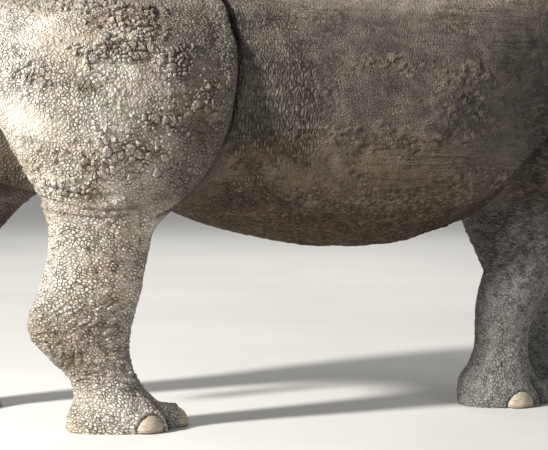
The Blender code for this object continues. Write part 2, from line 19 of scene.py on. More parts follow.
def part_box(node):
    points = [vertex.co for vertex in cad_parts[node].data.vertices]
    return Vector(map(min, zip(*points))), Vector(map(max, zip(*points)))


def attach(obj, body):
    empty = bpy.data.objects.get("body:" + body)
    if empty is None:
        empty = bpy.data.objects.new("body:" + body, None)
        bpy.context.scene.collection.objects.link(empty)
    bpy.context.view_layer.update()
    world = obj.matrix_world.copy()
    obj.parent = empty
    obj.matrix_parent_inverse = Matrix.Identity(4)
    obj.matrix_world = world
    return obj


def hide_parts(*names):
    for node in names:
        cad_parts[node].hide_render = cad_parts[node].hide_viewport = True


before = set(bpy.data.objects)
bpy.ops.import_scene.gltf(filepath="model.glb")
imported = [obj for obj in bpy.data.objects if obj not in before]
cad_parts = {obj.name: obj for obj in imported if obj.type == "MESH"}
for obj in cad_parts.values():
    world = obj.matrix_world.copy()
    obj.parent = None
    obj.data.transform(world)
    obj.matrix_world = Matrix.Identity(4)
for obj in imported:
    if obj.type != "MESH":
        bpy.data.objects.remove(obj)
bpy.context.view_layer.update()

# ---------------------------------------------------------------- shape of the flesh
# Trunk: distance along, top of the back, height of the widest place, belly, half width, squareness.
TRUNK = (
    (-0.560, 1.33, 1.18, 1.02, 0.09, 2.1),
    (-0.490, 1.43, 1.16, 0.92, 0.22, 2.1),
    (-0.300, 1.53, 1.15, 0.82, 0.37, 2.1),
    (-0.050, 1.58, 1.14, 0.77, 0.44, 2.1),
    (0.200, 1.57, 1.10, 0.745, 0.465, 2.1),
    (0.450, 1.53, 1.06, 0.655, 0.485, 2.1),
    (0.750, 1.51, 1.03, 0.587, 0.515, 2.15),
    (1.050, 1.54, 1.03, 0.577, 0.525, 2.2),
    (1.300, 1.61, 1.06, 0.628, 0.510, 2.5),
    (1.500, 1.68, 1.10, 0.692, 0.475, 2.4),
    (1.700, 1.715, 1.12, 0.715, 0.430, 2.2),
    (1.880, 1.66, 1.14, 0.800, 0.360, 2.1),
    (2.020, 1.53, 1.15, 0.930, 0.230, 2.1),
)

# Neck: its top line (x, z), its throat line (x, z), half width.
NECK = (
    (1.70, 1.700, 1.64, 0.80, 0.40),
    (1.93, 1.635, 1.86, 0.83, 0.365),
    (2.13, 1.545, 2.01, 0.88, 0.310),
    (2.29, 1.445, 2.10, 0.93, 0.250),
    (2.39, 1.355, 2.19, 0.95, 0.205),
    (2.44, 1.260, 2.28, 0.95, 0.170),
)
NECK_OVAL = 2.15  # squareness

# Head frame: the crest between the ears, and how far the face hangs below the horizontal.
CREST = np.array((2.42, 0.0, 1.355))
FACE_PITCH = math.radians(50)
FACE_ALONG = np.array((math.cos(FACE_PITCH), 0.0, -math.sin(FACE_PITCH)))
FACE_OUT = np.array((math.sin(FACE_PITCH), 0.0, math.cos(FACE_PITCH)))

# Head: distance from the crest, forehead line, widest line, chin line, half width, squareness.
HEAD = (
    (-0.060, -0.050, -0.15, -0.26, 0.110, 2.2),
    (0.000, 0.000, -0.16, -0.36, 0.155, 2.3),
    (0.100, -0.010, -0.18, -0.430, 0.172, 2.4),
    (0.230, -0.040, -0.20, -0.440, 0.178, 2.4),
    (0.360, -0.050, -0.18, -0.400, 0.170, 2.4),
    (0.480, -0.035, -0.17, -0.340, 0.150, 2.5),
    (0.590, -0.015, -0.16, -0.300, 0.136, 2.6),
    (0.690, -0.010, -0.17, -0.285, 0.136, 2.8),
    (0.780, -0.035, -0.18, -0.283, 0.146, 3.2),
    (0.840, -0.085, -0.19, -0.275, 0.142, 3.4),
    (0.870, -0.140, -0.20, -0.255, 0.110, 3.0),
)

# Hind legs, top to ground: height, back edge, front edge, inner side, outer side, squareness in front.
LEGS = {
    "hind_right": (
        (1.46, -0.27, 0.240, 0.06, 0.300, 2.3),
        (1.38, -0.43, 0.400, 0.05, 0.430, 2.6),
        (1.27, -0.545, 0.440, 0.05, 0.505, 3.2),
        (1.12, -0.520, 0.390, 0.05, 0.540, 3.4),
        (0.98, -0.425, 0.350, 0.07, 0.540, 3.3),
        (0.88, -0.352, 0.308, 0.11, 0.518, 3.1),
        (0.80, -0.304, 0.226, 0.14, 0.495, 2.7),
        (0.70, -0.280, 0.098, 0.18, 0.472, 2.25),
        (0.59, -0.288, 0.064, 0.20, 0.455, 2.25),
        (0.49, -0.318, 0.048, 0.215, 0.440, 2.25),
        (0.40, -0.357, 0.026, 0.225, 0.430, 2.25),
        (0.33, -0.352, 0.006, 0.230, 0.425, 2.25),
        (0.26, -0.290, 0.004, 0.235, 0.420, 2.25),
        (0.20, -0.228, 0.020, 0.232, 0.425, 2.25),
        (0.13, -0.192, 0.066, 0.215, 0.440, 2.25),
        (0.07, -0.208, 0.130, 0.195, 0.462, 2.25),
        (0.00, -0.216, 0.170, 0.190, 0.468, 2.25),
    ),
    "hind_left": (
        (1.46, -0.29, 0.200, 0.06, 0.300, 2.3),
        (1.38, -0.45, 0.350, 0.05, 0.430, 2.6),
        (1.27, -0.57, 0.370, 0.05, 0.505, 3.0),
        (1.12, -0.60, 0.280, 0.05, 0.535, 3.0),
        (0.98, -0.58, 0.145, 0.07, 0.530, 2.8),
        (0.87, -0.56, -0.030, 0.11, 0.505, 2.5),
        (0.77, -0.575, -0.148, 0.15, 0.480, 2.3),
        (0.68, -0.615, -0.245, 0.18, 0.460, 2.25),
        (0.59, -0.67, -0.332, 0.20, 0.450, 2.25),
        (0.50, -0.728, -0.405, 0.215, 0.440, 2.25),
        (0.42, -0.755, -0.450, 0.225, 0.430, 2.25),
        (0.34, -0.745, -0.480, 0.230, 0.425, 2.25),
        (0.26, -0.700, -0.478, 0.235, 0.420, 2.25),
        (0.20, -0.672, -0.455, 0.232, 0.425, 2.25),
        (0.13, -0.661, -0.415, 0.215, 0.440, 2.25),
        (0.07, -0.684, -0.355, 0.195, 0.462, 2.25),
        (0.00, -0.692, -0.315, 0.190, 0.468, 2.25),
    ),
}
OVAL = 2.25  # squareness of the back of every leg, and of the whole of a foreleg

# Forelegs, top to ground: height, back and front edge of the right one, the same of the left one, both sides.
FORELEGS = (
    (1.46, 1.57, 1.78, 1.60, 1.82, 0.08, 0.290),
    (1.36, 1.51, 1.88, 1.55, 1.92, 0.08, 0.390),
    (1.22, 1.48, 1.95, 1.52, 2.00, 0.08, 0.450),
    (1.05, 1.47, 1.98, 1.52, 2.04, 0.08, 0.460),
    (0.90, 1.48, 1.97, 1.53, 2.05, 0.10, 0.435),
    (0.78, 1.475, 1.92, 1.545, 2.03, 0.13, 0.420),
    (0.68, 1.450, 1.855, 1.575, 2.00, 0.16, 0.420),
    (0.58, 1.412, 1.776, 1.620, 1.99, 0.175, 0.418),
    (0.48, 1.388, 1.690, 1.672, 1.985, 0.185, 0.414),
    (0.39, 1.366, 1.617, 1.718, 1.985, 0.192, 0.410),
    (0.30, 1.358, 1.569, 1.762, 1.990, 0.200, 0.402),
    (0.22, 1.358, 1.552, 1.795, 1.995, 0.200, 0.402),
    (0.15, 1.335, 1.562, 1.795, 2.022, 0.185, 0.418),
    (0.09, 1.296, 1.588, 1.778, 2.070, 0.160, 0.440),
    (0.04, 1.298, 1.620, 1.782, 2.104, 0.155, 0.446),
    (0.00, 1.302, 1.628, 1.786, 2.112, 0.155, 0.446),
)
for limb, first in (("fore_right", 1), ("fore_left", 3)):
    LEGS[limb] = tuple((row[0], *row[first:first + 2], *row[5:], OVAL) for row in FORELEGS)
LEG_TAPER = {"hind": 0.22, "fore": 0.10}  # a section is this much narrower behind than in front
KNEE_TOP, KNEE_SPAN = 0.85, 0.20
BURIED = 0.07  # how far the leg lofts run below the ground before the soles are cut
SIDES = {"right": -1, "left": 1}

CLEFTS = {"hind": (41, -41), "fore": (49, -40)}  # bearings of the clefts between the toes
# Toes: bearing from straight ahead, how far ahead and out as shares of the sole's half sizes, half width.
TOES = {
    "hind": ((0, 0.80, 0.0, 0.066), (72, 0.24, 0.54, 0.064), (-72, 0.26, -0.54, 0.060)),
    "fore": ((4, 0.78, 0.10, 0.070), (72, -0.02, 0.54, 0.068), (-68, 0.16, -0.54, 0.062)),
}
TOE_LENGTH, TOE_HEIGHT, TOE_RISE = 0.072, 0.058, 0.030
TOE_SWELL = 1.10
NAIL_DEPTH, NAIL_HEIGHT, NAIL_RISE = 0.044, 0.058, 0.007
NAIL_SHARE, NAIL_FORWARD, NAIL_FOOT = 0.86, 0.044, 0.004

# Horns: distance along the face, base radii (along the face, across), length, backward curl in degrees.
HORNS = {
    "horn_front": (0.705, 0.098, 0.083, 0.56, 52),
    "horn_rear": (0.505, 0.082, 0.066, 0.235, 26),
}
HORN_ROOT, HORN_LEAN, HORN_TIP = 0.05, 0.06, 0.055

EYE_ALONG, EYE_DOWN, EYE_SIDE, EYE_RADIUS = 0.400, -0.150, 0.154, 0.0165

EAR_ALONG, EAR_DOWN, EAR_SIDE = 0.045, -0.045, 0.118
EAR_UP = np.array((-0.10, 0.46, 0.88))
EAR_OPEN = np.array((0.72, 0.62, 0.0))
EAR_LENGTH, EAR_WALL, EAR_THIN = 0.275, 0.011, 0.004
# Ear: share of its length, half width, half depth, how far its middle bends back.
EAR = (
    (-0.20, 0.036, 0.036, 0.000),
    (0.00, 0.040, 0.040, 0.000),
    (0.18, 0.044, 0.043, 0.002),
    (0.38, 0.057, 0.046, 0.006),
    (0.58, 0.063, 0.042, 0.010),
    (0.78, 0.052, 0.030, 0.012),
    (0.93, 0.028, 0.018, 0.010),
    (1.00, 0.012, 0.011, 0.008),
)
EAR_HOLLOW = (0.20, 0.96)

# Tail: x, z, half width, half depth.
TAIL = (
    (-0.430, 1.405, 0.064, 0.050),
    (-0.500, 1.360, 0.060, 0.050),
    (-0.570, 1.310, 0.054, 0.045),
    (-0.622, 1.200, 0.044, 0.037),
    (-0.648, 1.050, 0.034, 0.028),
    (-0.655, 0.900, 0.027, 0.022),
    (-0.650, 0.780, 0.023, 0.017),
    (-0.644, 0.715, 0.016, 0.011),
)

# ---------------------------------------------------------------- grain of the skin
# For each loft: rows along it, points round it.
TRUNK_GRAIN, NECK_GRAIN, HEAD_GRAIN = (170, 140), (90, 120), (160, 140)
LEG_GRAIN, EAR_GRAIN, TAIL_GRAIN = (180, 110), (56, 44), (90, 40)
BLEND_VOXEL = 0.009  # grid that fuses the lofts
BLEND_SPREAD = 0.0185  # how far fusing rounds the creases between lofts
BODY_VOXEL = 0.0078
HEAD_VOXEL = 0.0038
BODY_SPREAD, HEAD_SPREAD = 0.0055, 0.0036  # how far the second fusing rounds what is added
SEAM_POINT = np.array((2.10, 0.0, 1.20))  # the coarse and the fine half of the skin meet in this plane
SEAM_AHEAD = np.array((1.0, 0.0, 0.0))
SEAM_FOOT = 0.30  # and only above this height, clear of the toes
INSET = 0.0015  # the skin lies this far inside the solids
FAINT = 0.003  # what a mask marks more weakly than this is left alone
SOLE_EDGE = 0.02  # below this height the skin eases into the flat sole
ROOT_ROUNDS = 45  # how often the roots of ears and tail are rounded
ROOTS = 30000  # points of skin that hairs find their place on the unwrap by, at most about


# ---------------------------------------------------------------- numbers
def smooth(value, low, high):
    """0 below low, 1 above high, eased in between."""
    t = np.clip((value - low) / (high - low), 0.0, 1.0)
    return t * t * (3 - 2 * t)


def fades(value, low, high):
    """1 below low, 0 above high, eased in between."""
    return 1 - smooth(value, low, high)


def within(value, low, high, soft):
    """1 between low and high, falling to 0 over soft on both sides."""
    return smooth(value, low - soft, low) * fades(value, high, high + soft)


def bell(value, width):
    return np.exp(-((value / width) ** 2))


def blob(points, centre, radii):
    """1 at centre, fading to 0 like a bell with the given radii."""
    radii = np.array(radii, float) if np.ndim(radii) else np.full(3, float(radii))
    return np.exp(-(((points - np.array(centre)) / radii) ** 2).sum(1))


def hashed(x, y, z, seed):
    """A number from 0 to 1 for each whole-numbered place."""
    h = (x * 73856093) ^ (y * 19349663) ^ (z * 83492791) ^ (seed * 40503 + 977)
    h = (h ^ (h >> 13)) * 1274126177 & 0x7FFFFFFF
    h = (h ^ (h >> 15)) * 2246822519 & 0x7FFFFFFF
    return ((h ^ (h >> 11)) & 0xFFFF) / 65536.0


def noise(points, seed):
    """Smooth random numbers from -1 to 1, one unit apart."""
    base = np.floor(points).astype(np.int64)
    t = points - base
    t = t * t * (3 - 2 * t)
    total = np.zeros(len(points))
    for corner in itertools.product((0, 1), repeat=3):
        weight = math.prod(t[:, axis] if step else 1 - t[:, axis] for axis, step in enumerate(corner))
        total += weight * hashed(*(base + corner).T, seed)
    return total * 2 - 1


def layered(points, seed, octaves):
    total, size = 0.0, 1.0
    for octave in range(octaves):
        total = total + noise(points / size, seed + octave) * size
        size *= 0.5
    return total


def cells(points, seed):
    """Distance to the nearest and the second cell centre, and a number that is the nearest one's own."""
    base = np.floor(points).astype(np.int64)
    best = np.full(len(points), 9.0)
    second = best.copy()
    own = np.zeros(len(points))
    for step in itertools.product((-1, 0, 1), repeat=3):
        where = base + step
        centres = [hashed(*where.T, seed + 17 * axis) for axis in range(3)]
        away = sum((where[:, axis] + centres[axis] - points[:, axis]) ** 2 for axis in range(3))
        nearer = away < best
        second = np.where(nearer, best, np.minimum(second, away))
        own = np.where(nearer, centres[0], own)
        best = np.where(nearer, away, best)
    return np.sqrt(best), np.sqrt(second), own


def eased(stations, count):
    """Catmull-Rom through the stations' numbers: count rows, evenly spaced by station."""
    rows = np.array(stations, float)
    padded = np.vstack([2 * rows[0] - rows[1], rows, 2 * rows[-1] - rows[-2]])
    place = np.linspace(0, len(rows) - 1, count)
    i = np.minimum(place.astype(int), len(rows) - 2)
    t = (place - i)[:, None]
    a, b, c, d = (padded[i + k] for k in range(4))
    return 0.5 * (2 * b + (c - a) * t + (2 * a - 5 * b + 4 * c - d) * t**2 + (3 * b - a - 3 * c + d) * t**3)


def oval(angles, squareness):
    """Points on a unit oval whose corners fill out as squareness rises above 2."""
    c, s = np.cos(angles), np.sin(angles)
    power = 2.0 / squareness
    return np.sign(c) * np.abs(c) ** power, np.sign(s) * np.abs(s) ** power


def circle(count):
    return np.arange(count) * (2 * math.pi / count)


def unit(vectors):
    """A vector, or each row of several, at length 1."""
    lengths = np.linalg.norm(vectors) if vectors.ndim == 1 else np.linalg.norm(vectors, axis=1)[:, None]
    return vectors / lengths


def side_of(limb):
    return SIDES[limb.split("_")[1]]


def face_point(along, out, side=0.0):
    """A place in the head's own frame: along the face, out from the forehead line, to the left."""
    return CREST + FACE_ALONG * along + FACE_OUT * out + np.array((0.0, side, 0.0))


def eye_centre(side):
    return face_point(EYE_ALONG, EYE_DOWN, side * EYE_SIDE)


def slit_axes():
    """The directions along the eye's slit and up across it."""
    c, s = math.cos(math.radians(SLIT_TURN)), math.sin(math.radians(SLIT_TURN))
    return FACE_ALONG * c + FACE_OUT * s, FACE_OUT * c - FACE_ALONG * s


def nail_middle(place_at, heading):
    return place_at + heading * NAIL_FORWARD + np.array((0, 0, NAIL_RISE))


# ---------------------------------------------------------------- meshes
def linked(name, data):
    """A new object in the scene that holds data."""
    made = bpy.data.objects.new(name, data)
    bpy.context.scene.collection.objects.link(made)
    return made


def new_mesh(name, points, faces):
    mesh = bpy.data.meshes.new(name)
    mesh.from_pydata([tuple(p) for p in points], [], faces)
    mesh.update()
    return mesh


def written(name, bm):
    """A mesh made of what bm holds. bm is used up."""
    mesh = bpy.data.meshes.new(name)
    bm.to_mesh(mesh)
    bm.free()
    return mesh


def absorb(bm, obj):
    """Takes an object's mesh into bm and the object out of the scene."""
    bm.from_mesh(obj.data)
    bpy.data.objects.remove(obj)


def once(items):
    """The items without repeats, in the order in which they first come."""
    return list(dict.fromkeys(items))


def edit(obj, change):
    """Opens the object's mesh, lets change work on it and writes it back."""
    bm = bmesh.new()
    bm.from_mesh(obj.data)
    change(bm)
    bm.to_mesh(obj.data)
    bm.free()


def ring_faces(rows, count, start=0):
    """Faces that join rows of rings of equal length, with flat ends."""
    faces = []
    for low in range(start, start + (rows - 1) * count, count):
        high = low + count
        for i in range(count):
            j = (i + 1) % count
            faces.append((low + i, low + j, high + j, high + i))
    faces.append(tuple(start + i for i in reversed(range(count))))
    faces.append(tuple(start + (rows - 1) * count + i for i in range(count)))
    return faces


def loft(name, rings):
    """A closed skin over rings, given as an array of rows, points and coordinates."""
    rows, count, _ = rings.shape
    made = linked(name, new_mesh(name, rings.reshape(-1, 3), ring_faces(rows, count)))
    edit(made, lambda bm: bmesh.ops.recalc_face_normals(bm, faces=bm.faces))
    return made


def told(items, field, width=1, kind=np.int32):
    """What each item says under field, as an array with a row for each item."""
    flat = np.empty(len(items) * width, kind)
    items.foreach_get(field, flat)
    return flat.reshape(-1, width) if width > 1 else flat


def coordinates(mesh):
    return told(mesh.vertices, "co", 3, np.float32).astype(float)


def normals(mesh):
    return told(mesh.vertices, "normal", 3, np.float32).astype(float)


def place(mesh, points):
    mesh.vertices.foreach_set("co", points.astype(np.float32).ravel())
    mesh.update()


def settle(obj):
    """Turns the object's modifiers into its mesh."""
    graph = bpy.context.evaluated_depsgraph_get()
    mesh = bpy.data.meshes.new_from_object(obj.evaluated_get(graph))
    obj.modifiers.clear()
    old = obj.data
    obj.data = mesh
    bpy.data.meshes.remove(old)


def joined(name, objects):
    """One object holding all the given meshes, which are used up."""
    bm = bmesh.new()
    for obj in objects:
        absorb(bm, obj)
    return linked(name, written(name, bm))


def fuse(obj, voxel, spread):
    """Fuses what the object holds into one skin and rounds its creases by spread."""
    remesh = obj.modifiers.new("fuse", "REMESH")
    remesh.mode = "VOXEL"
    remesh.voxel_size = voxel
    soften = obj.modifiers.new("soften", "SMOOTH")
    soften.factor = 0.5
    soften.iterations = max(1, round(4 * spread**2 / voxel**2))
    settle(obj)


def cut(obj, point, away, fill, above=-1.0):
    """Takes off what lies above a height and beyond the plane through point that faces away."""
    def take_off(bm):
        faces = [f for f in bm.faces if f.verts[0].co.z > above]
        verts = once(v for f in faces for v in f.verts)
        edges = once(e for f in faces for e in f.edges)
        plane = {"plane_co": point, "plane_no": away, "clear_outer": True}
        made = bmesh.ops.bisect_plane(bm, geom=[*verts, *edges, *faces], dist=1e-7, **plane)["geom_cut"]
        if fill:
            rim = [e for e in made if isinstance(e, bmesh.types.BMEdge)]
            bmesh.ops.holes_fill(bm, edges=rim, sides=0)

    edit(obj, take_off)


def drop(obj, chosen):
    """Deletes the vertices that chosen picks."""
    edit(obj, lambda bm: bmesh.ops.delete(bm, geom=[v for v in bm.verts if chosen(v.co)], context="VERTS"))


def store(mesh, **layers):
    """Keeps numbers or vectors for each point under their names, for the materials."""
    for name, values in layers.items():
        kind, field = ("FLOAT_VECTOR", "vector") if np.ndim(values) == 2 else ("FLOAT", "value")
        layer = mesh.attributes.new(name, kind, "POINT")
        layer.data.foreach_set(field, np.ascontiguousarray(values, dtype=np.float32).ravel())


# ---------------------------------------------------------------- lofts of the flesh
def trunk_rings():
    x, top, widest, bottom, half, square = (c[:, None] for c in eased(TRUNK, TRUNK_GRAIN[0]).T)
    side, up = oval(circle(TRUNK_GRAIN[1])[None, :], square)
    z = widest + up * np.where(up > 0, top - widest, widest - bottom)
    return np.stack([np.broadcast_to(x, z.shape), side * half, z], 2)


def neck_rings():
    top_x, top_z, low_x, low_z, half = (c[:, None] for c in eased(NECK, NECK_GRAIN[0]).T)
    side, up = oval(circle(NECK_GRAIN[1])[None, :], NECK_OVAL)
    x = (top_x + low_x) / 2 + up * (top_x - low_x) / 2
    z = (top_z + low_z) / 2 + up * (top_z - low_z) / 2
    return np.stack([x, side * half, z], 2)


def head_rings():
    along, brow, widest, chin, half, square = (c[:, None] for c in eased(HEAD, HEAD_GRAIN[0]).T)
    side, up = oval(circle(HEAD_GRAIN[1])[None, :], square)
    out = widest + up * np.where(up > 0, brow - widest, widest - chin)
    points = CREST + along[..., None] * FACE_ALONG + out[..., None] * FACE_OUT
    points[..., 1] += side * half
    return points


def leg_stations(limb):
    return list(LEGS[limb]) + [(-BURIED, *LEGS[limb][-1][1:])]


def leg_rings(limb):
    stations = eased(leg_stations(limb), LEG_GRAIN[0])
    height, back, front, inner, outer, square = (c[:, None] for c in stations.T)
    angles = circle(LEG_GRAIN[1])[None, :]
    ahead, across = oval(angles, np.where(np.cos(angles) > 0, square, OVAL))
    taper = LEG_TAPER[limb.split("_")[0]] * np.clip((KNEE_TOP - height) / KNEE_SPAN, 0, 1)
    y = (inner + outer) / 2 + across * (outer - inner) / 2 * (1 + taper * (ahead - 0.15))
    x = (back + front) / 2 + ahead * (front - back) / 2
    return np.stack([x, side_of(limb) * y, np.broadcast_to(height, x.shape)], 2)


def toe_places(limb):
    """For each toe: its middle at ground level, the direction it points in and its half width."""
    side = side_of(limb)
    _, back, front, inner, outer, _ = LEGS[limb][-1]
    middle = np.array(((back + front) / 2, side * (inner + outer) / 2, 0.0))
    long, wide = (front - back) / 2, (outer - inner) / 2
    for bearing, forward, outward, half in TOES[limb.split("_")[0]]:
        a = math.radians(bearing)
        ahead = np.array((math.cos(a), side * math.sin(a), 0.0))
        yield middle + np.array((forward * long, side * outward * wide, 0.0)), ahead, half


def ball(name, middle, ahead, radii, segments, rings):
    """An ellipsoid whose first radius lies along ahead, the second across it and the third upright."""
    bm = bmesh.new()
    bmesh.ops.create_uvsphere(bm, u_segments=segments, v_segments=rings, radius=1.0)
    ahead = Vector(ahead)
    across = Vector((0, 0, 1)).cross(ahead)
    columns = (ahead * radii[0], across * radii[1], Vector((0, 0, radii[2])))
    turn = Matrix(columns).transposed().to_4x4()
    bmesh.ops.transform(bm, matrix=Matrix.Translation(middle) @ turn, verts=bm.verts)
    return linked(name, written(name, bm))


def ear_axes(side):
    """The ear's root and its axes: along the ear, towards its open side, and across."""
    mirror = np.array((1, side, 1))
    root = face_point(EAR_ALONG, EAR_DOWN, side * EAR_SIDE)
    along = unit(EAR_UP * mirror)
    facing = EAR_OPEN * mirror
    facing = unit(facing - along * facing.dot(along))
    return root, along, facing, np.cross(along, facing)


def ear_rings(side, inset, first, last):
    """Sections of the ear between two shares of its length. inset thins them, for the hollow."""
    root, along, facing, across = ear_axes(side)
    rows = eased(EAR, EAR_GRAIN[0])
    rows = rows[(rows[:, 0] >= first) & (rows[:, 0] <= last)]
    share, wide, deep, behind = (c[:, None, None] for c in rows.T)
    angles = circle(EAR_GRAIN[1])[None, :, None]
    swell = 1.0
    if inset:
        swell = np.sin(np.clip((share - first) / (last - first), 0.02, 0.98) * math.pi) ** 0.6
    forward = np.cos(angles) * np.maximum((deep - inset) * swell, EAR_THIN)
    forward = forward - behind + 2.2 * inset + (1 - swell) * 0.7 * deep
    aside = np.sin(angles) * np.maximum((wide - inset) * swell, EAR_THIN)
    return root + along * share * EAR_LENGTH + facing * forward + across * aside


def ear(side):
    made = loft("ear", ear_rings(side, 0.0, 0.0, 1.0))
    cup = loft("cup", ear_rings(side, EAR_WALL, *EAR_HOLLOW))
    modifier = made.modifiers.new("hollow", "BOOLEAN")
    modifier.object = cup
    modifier.operation = "DIFFERENCE"
    modifier.solver = "EXACT"
    settle(made)
    bpy.data.objects.remove(cup)
    return made


def tail_rings():
    x, z, wide, deep = eased(TAIL, TAIL_GRAIN[0]).T
    heading = unit(np.stack([np.gradient(x), np.zeros_like(x), np.gradient(z)], 1))
    rear = np.cross(heading, (0.0, 1.0, 0.0))[:, None, :]
    angles = circle(TAIL_GRAIN[1])[None, :, None]
    middle = np.stack([x, np.zeros_like(x), z], 1)[:, None, :]
    side = np.array((0.0, 1.0, 0.0))
    return middle + rear * np.cos(angles) * deep[:, None, None] + side * np.sin(angles) * wide[:, None, None]


# The wall beside the cleft behind the right thigh: a place on it, and how it falls and turns.
CLEFT_X, CLEFT_Z, CLEFT_Y, CLEFT_FALL, CLEFT_TURN = -0.456, 1.037, -0.4, 0.60, 0.28
CLEFT_SHARE = 0.92  # how much of the way to that wall the skin is drawn
CLEFT_FOOT, CLEFT_TOP, CLEFT_SIDE = (0.77, 0.82), (1.04, 1.18), (-0.02, 0.04)  # where the cleft fades out


def cleft(mesh):
    """Draws in the rear of the right thigh, so that a cleft parts it from the left one."""
    p = coordinates(mesh)
    wall = CLEFT_X + CLEFT_FALL * (CLEFT_Z - p[:, 2]) + CLEFT_TURN * (p[:, 1] - CLEFT_Y)
    hold = smooth(p[:, 2], *CLEFT_FOOT) * fades(p[:, 2], *CLEFT_TOP) * fades(p[:, 1], *CLEFT_SIDE)
    p[:, 0] += CLEFT_SHARE * hold * np.maximum(wall - p[:, 0], 0) * (p[:, 0] < 0)
    place(mesh, p)


def flesh():
    """All the lofts of the body fused, as the solids fuse them."""
    parts = [loft("trunk", trunk_rings()), loft("neck", neck_rings()), loft("head", head_rings())]
    for limb in LEGS:
        parts.append(loft(limb, leg_rings(limb)))
        for middle, ahead, half in toe_places(limb):
            middle = middle + np.array((0, 0, TOE_RISE))
            parts.append(ball("toe", middle, ahead, (TOE_LENGTH, half * TOE_SWELL, TOE_HEIGHT), 48, 32))
    body = joined("flesh", parts)
    fuse(body, BLEND_VOXEL, BLEND_SPREAD)
    cleft(body.data)
    return body


def open_loop(bm, near, ahead):
    """The open edge loop that lies in the plane through near, as vertices in order of their bearing."""
    verts = once(v for e in bm.edges if e.is_boundary for v in e.verts)
    verts = [v for v in verts if abs((np.array(v.co) - near).dot(ahead)) < 0.004]
    up = np.cross(ahead, (0.0, 1.0, 0.0))
    middle = np.mean([v.co for v in verts], 0)

    def bearing(v):
        away = np.array(v.co) - middle
        return math.atan2(away[1], away.dot(up))

    return sorted(((bearing(v), v) for v in verts), key=lambda pair: pair[0])


def zip_loops(bm, first, second):
    """Fills the gap between two loops of vertices sorted by bearing."""
    i = j = 0
    while i < len(first) or j < len(second):
        a, b = first[i % len(first)][1], second[j % len(second)][1]
        next_a = first[(i + 1) % len(first)]
        next_b = second[(j + 1) % len(second)]
        turn_a = next_a[0] + (2 * math.pi if i + 1 >= len(first) else 0)
        turn_b = next_b[0] + (2 * math.pi if j + 1 >= len(second) else 0)
        if j >= len(second) or (i < len(first) and turn_a <= turn_b):
            bm.faces.new((a, next_a[1], b))
            i += 1
        else:
            bm.faces.new((a, next_b[1], b))
            j += 1


def divide(bm, chosen):
    """Cuts every chosen face into four."""
    edges = once(e for f in bm.faces if chosen(f.calc_center_median()) for e in f.edges)
    bmesh.ops.subdivide_edges(bm, edges=edges, cuts=1, use_grid_fill=True)


def soften(mesh, weights, times):
    """Rounds a mesh where weights allow, by drawing each point towards its neighbours."""
    ends = told(mesh.edges, "vertices", 2)
    ends = ends[(weights[ends] > 0.01).any(1)]
    used, flat = np.unique(ends, return_inverse=True)
    a, b = flat.reshape(-1, 2).T
    p = coordinates(mesh)
    local, pull = p[used], weights[used, None] * 0.5
    degree = np.bincount(a, minlength=len(used)) + np.bincount(b, minlength=len(used))
    for _ in range(times):
        total = np.stack([np.bincount(a, local[b, k], len(used)) + np.bincount(b, local[a, k], len(used))
                          for k in range(3)], 1)
        local += (total / degree[:, None] - local) * pull
    p[used] = local
    place(mesh, p)


def base_skin():
    """The whole skin before sculpting: coarse over the body, fine over the head and the ears."""
    gap = SEAM_AHEAD * BODY_VOXEL * 0.45
    body = flesh()
    front = linked("front", body.data.copy())
    cut(front, SEAM_POINT - SEAM_AHEAD * 0.08, -SEAM_AHEAD, True)
    drop(front, lambda p: p.x < SEAM_POINT[0] + 0.1 and p.z < SEAM_FOOT)
    front = joined("front", [front, ear(1), ear(-1)])
    fuse(front, HEAD_VOXEL, HEAD_SPREAD)
    cut(front, SEAM_POINT + gap, -SEAM_AHEAD, False)
    body = joined("body", [body, loft("tail", tail_rings())])
    fuse(body, BODY_VOXEL, BODY_SPREAD)
    cut(body, SEAM_POINT - gap, SEAM_AHEAD, False, SEAM_FOOT)
    cut(body, Vector((0, 0, 0)), Vector((0, 0, -1)), True)

    bm = bmesh.new()
    absorb(bm, body)
    behind = open_loop(bm, SEAM_POINT - gap, SEAM_AHEAD)
    absorb(bm, front)
    ahead = open_loop(bm, SEAM_POINT + gap, SEAM_AHEAD)
    ahead = [pair for pair in ahead if pair[1] not in {v for _, v in behind}]
    zip_loops(bm, behind, ahead)
    bmesh.ops.recalc_face_normals(bm, faces=bm.faces)
    return bm


# ---------------------------------------------------------------- places on the body
HIND_SHIFT, FORE_SHIFT = -0.035, 0.045  # the left limbs' roots sit this much further forward

# Folds of skin, as seen from the side: distance and height, top to bottom.
FLANK_FOLD = ((0.392, 1.52), (0.378, 1.40), (0.372, 1.30), (0.357, 1.198), (0.328, 1.062), (0.270, 0.927),
              (0.196, 0.826), (0.120, 0.765), (0.060, 0.735))
KNEE_CREASES = (
    ((-0.33, 0.822), (-0.26, 0.792), (-0.17, 0.772), (-0.08, 0.768), (0.00, 0.778)),
    ((-0.30, 0.765), (-0.22, 0.748), (-0.12, 0.742), (-0.03, 0.750)),
    ((-0.34, 0.862), (-0.27, 0.838), (-0.18, 0.822), (-0.10, 0.822)),
)
TRUNK_EDGE = ((1.13, 0.672), (1.19, 0.686), (1.252, 0.709), (1.332, 0.761), (1.412, 0.831), (1.493, 0.902),
              (1.566, 0.965), (1.63, 1.03), (1.67, 1.09))
BRISKET_FOLD = ((1.96, 1.28), (2.00, 1.12), (2.01, 0.98), (1.98, 0.84), (1.92, 0.76))

FOLD_CLEAR, FOLD_SPAN = 0.12, 0.55  # folds keep this far off the middle, and reach this far fore and aft
KNEE_SHADE = 0.35  # how dark the creases over the knee are beside the other folds

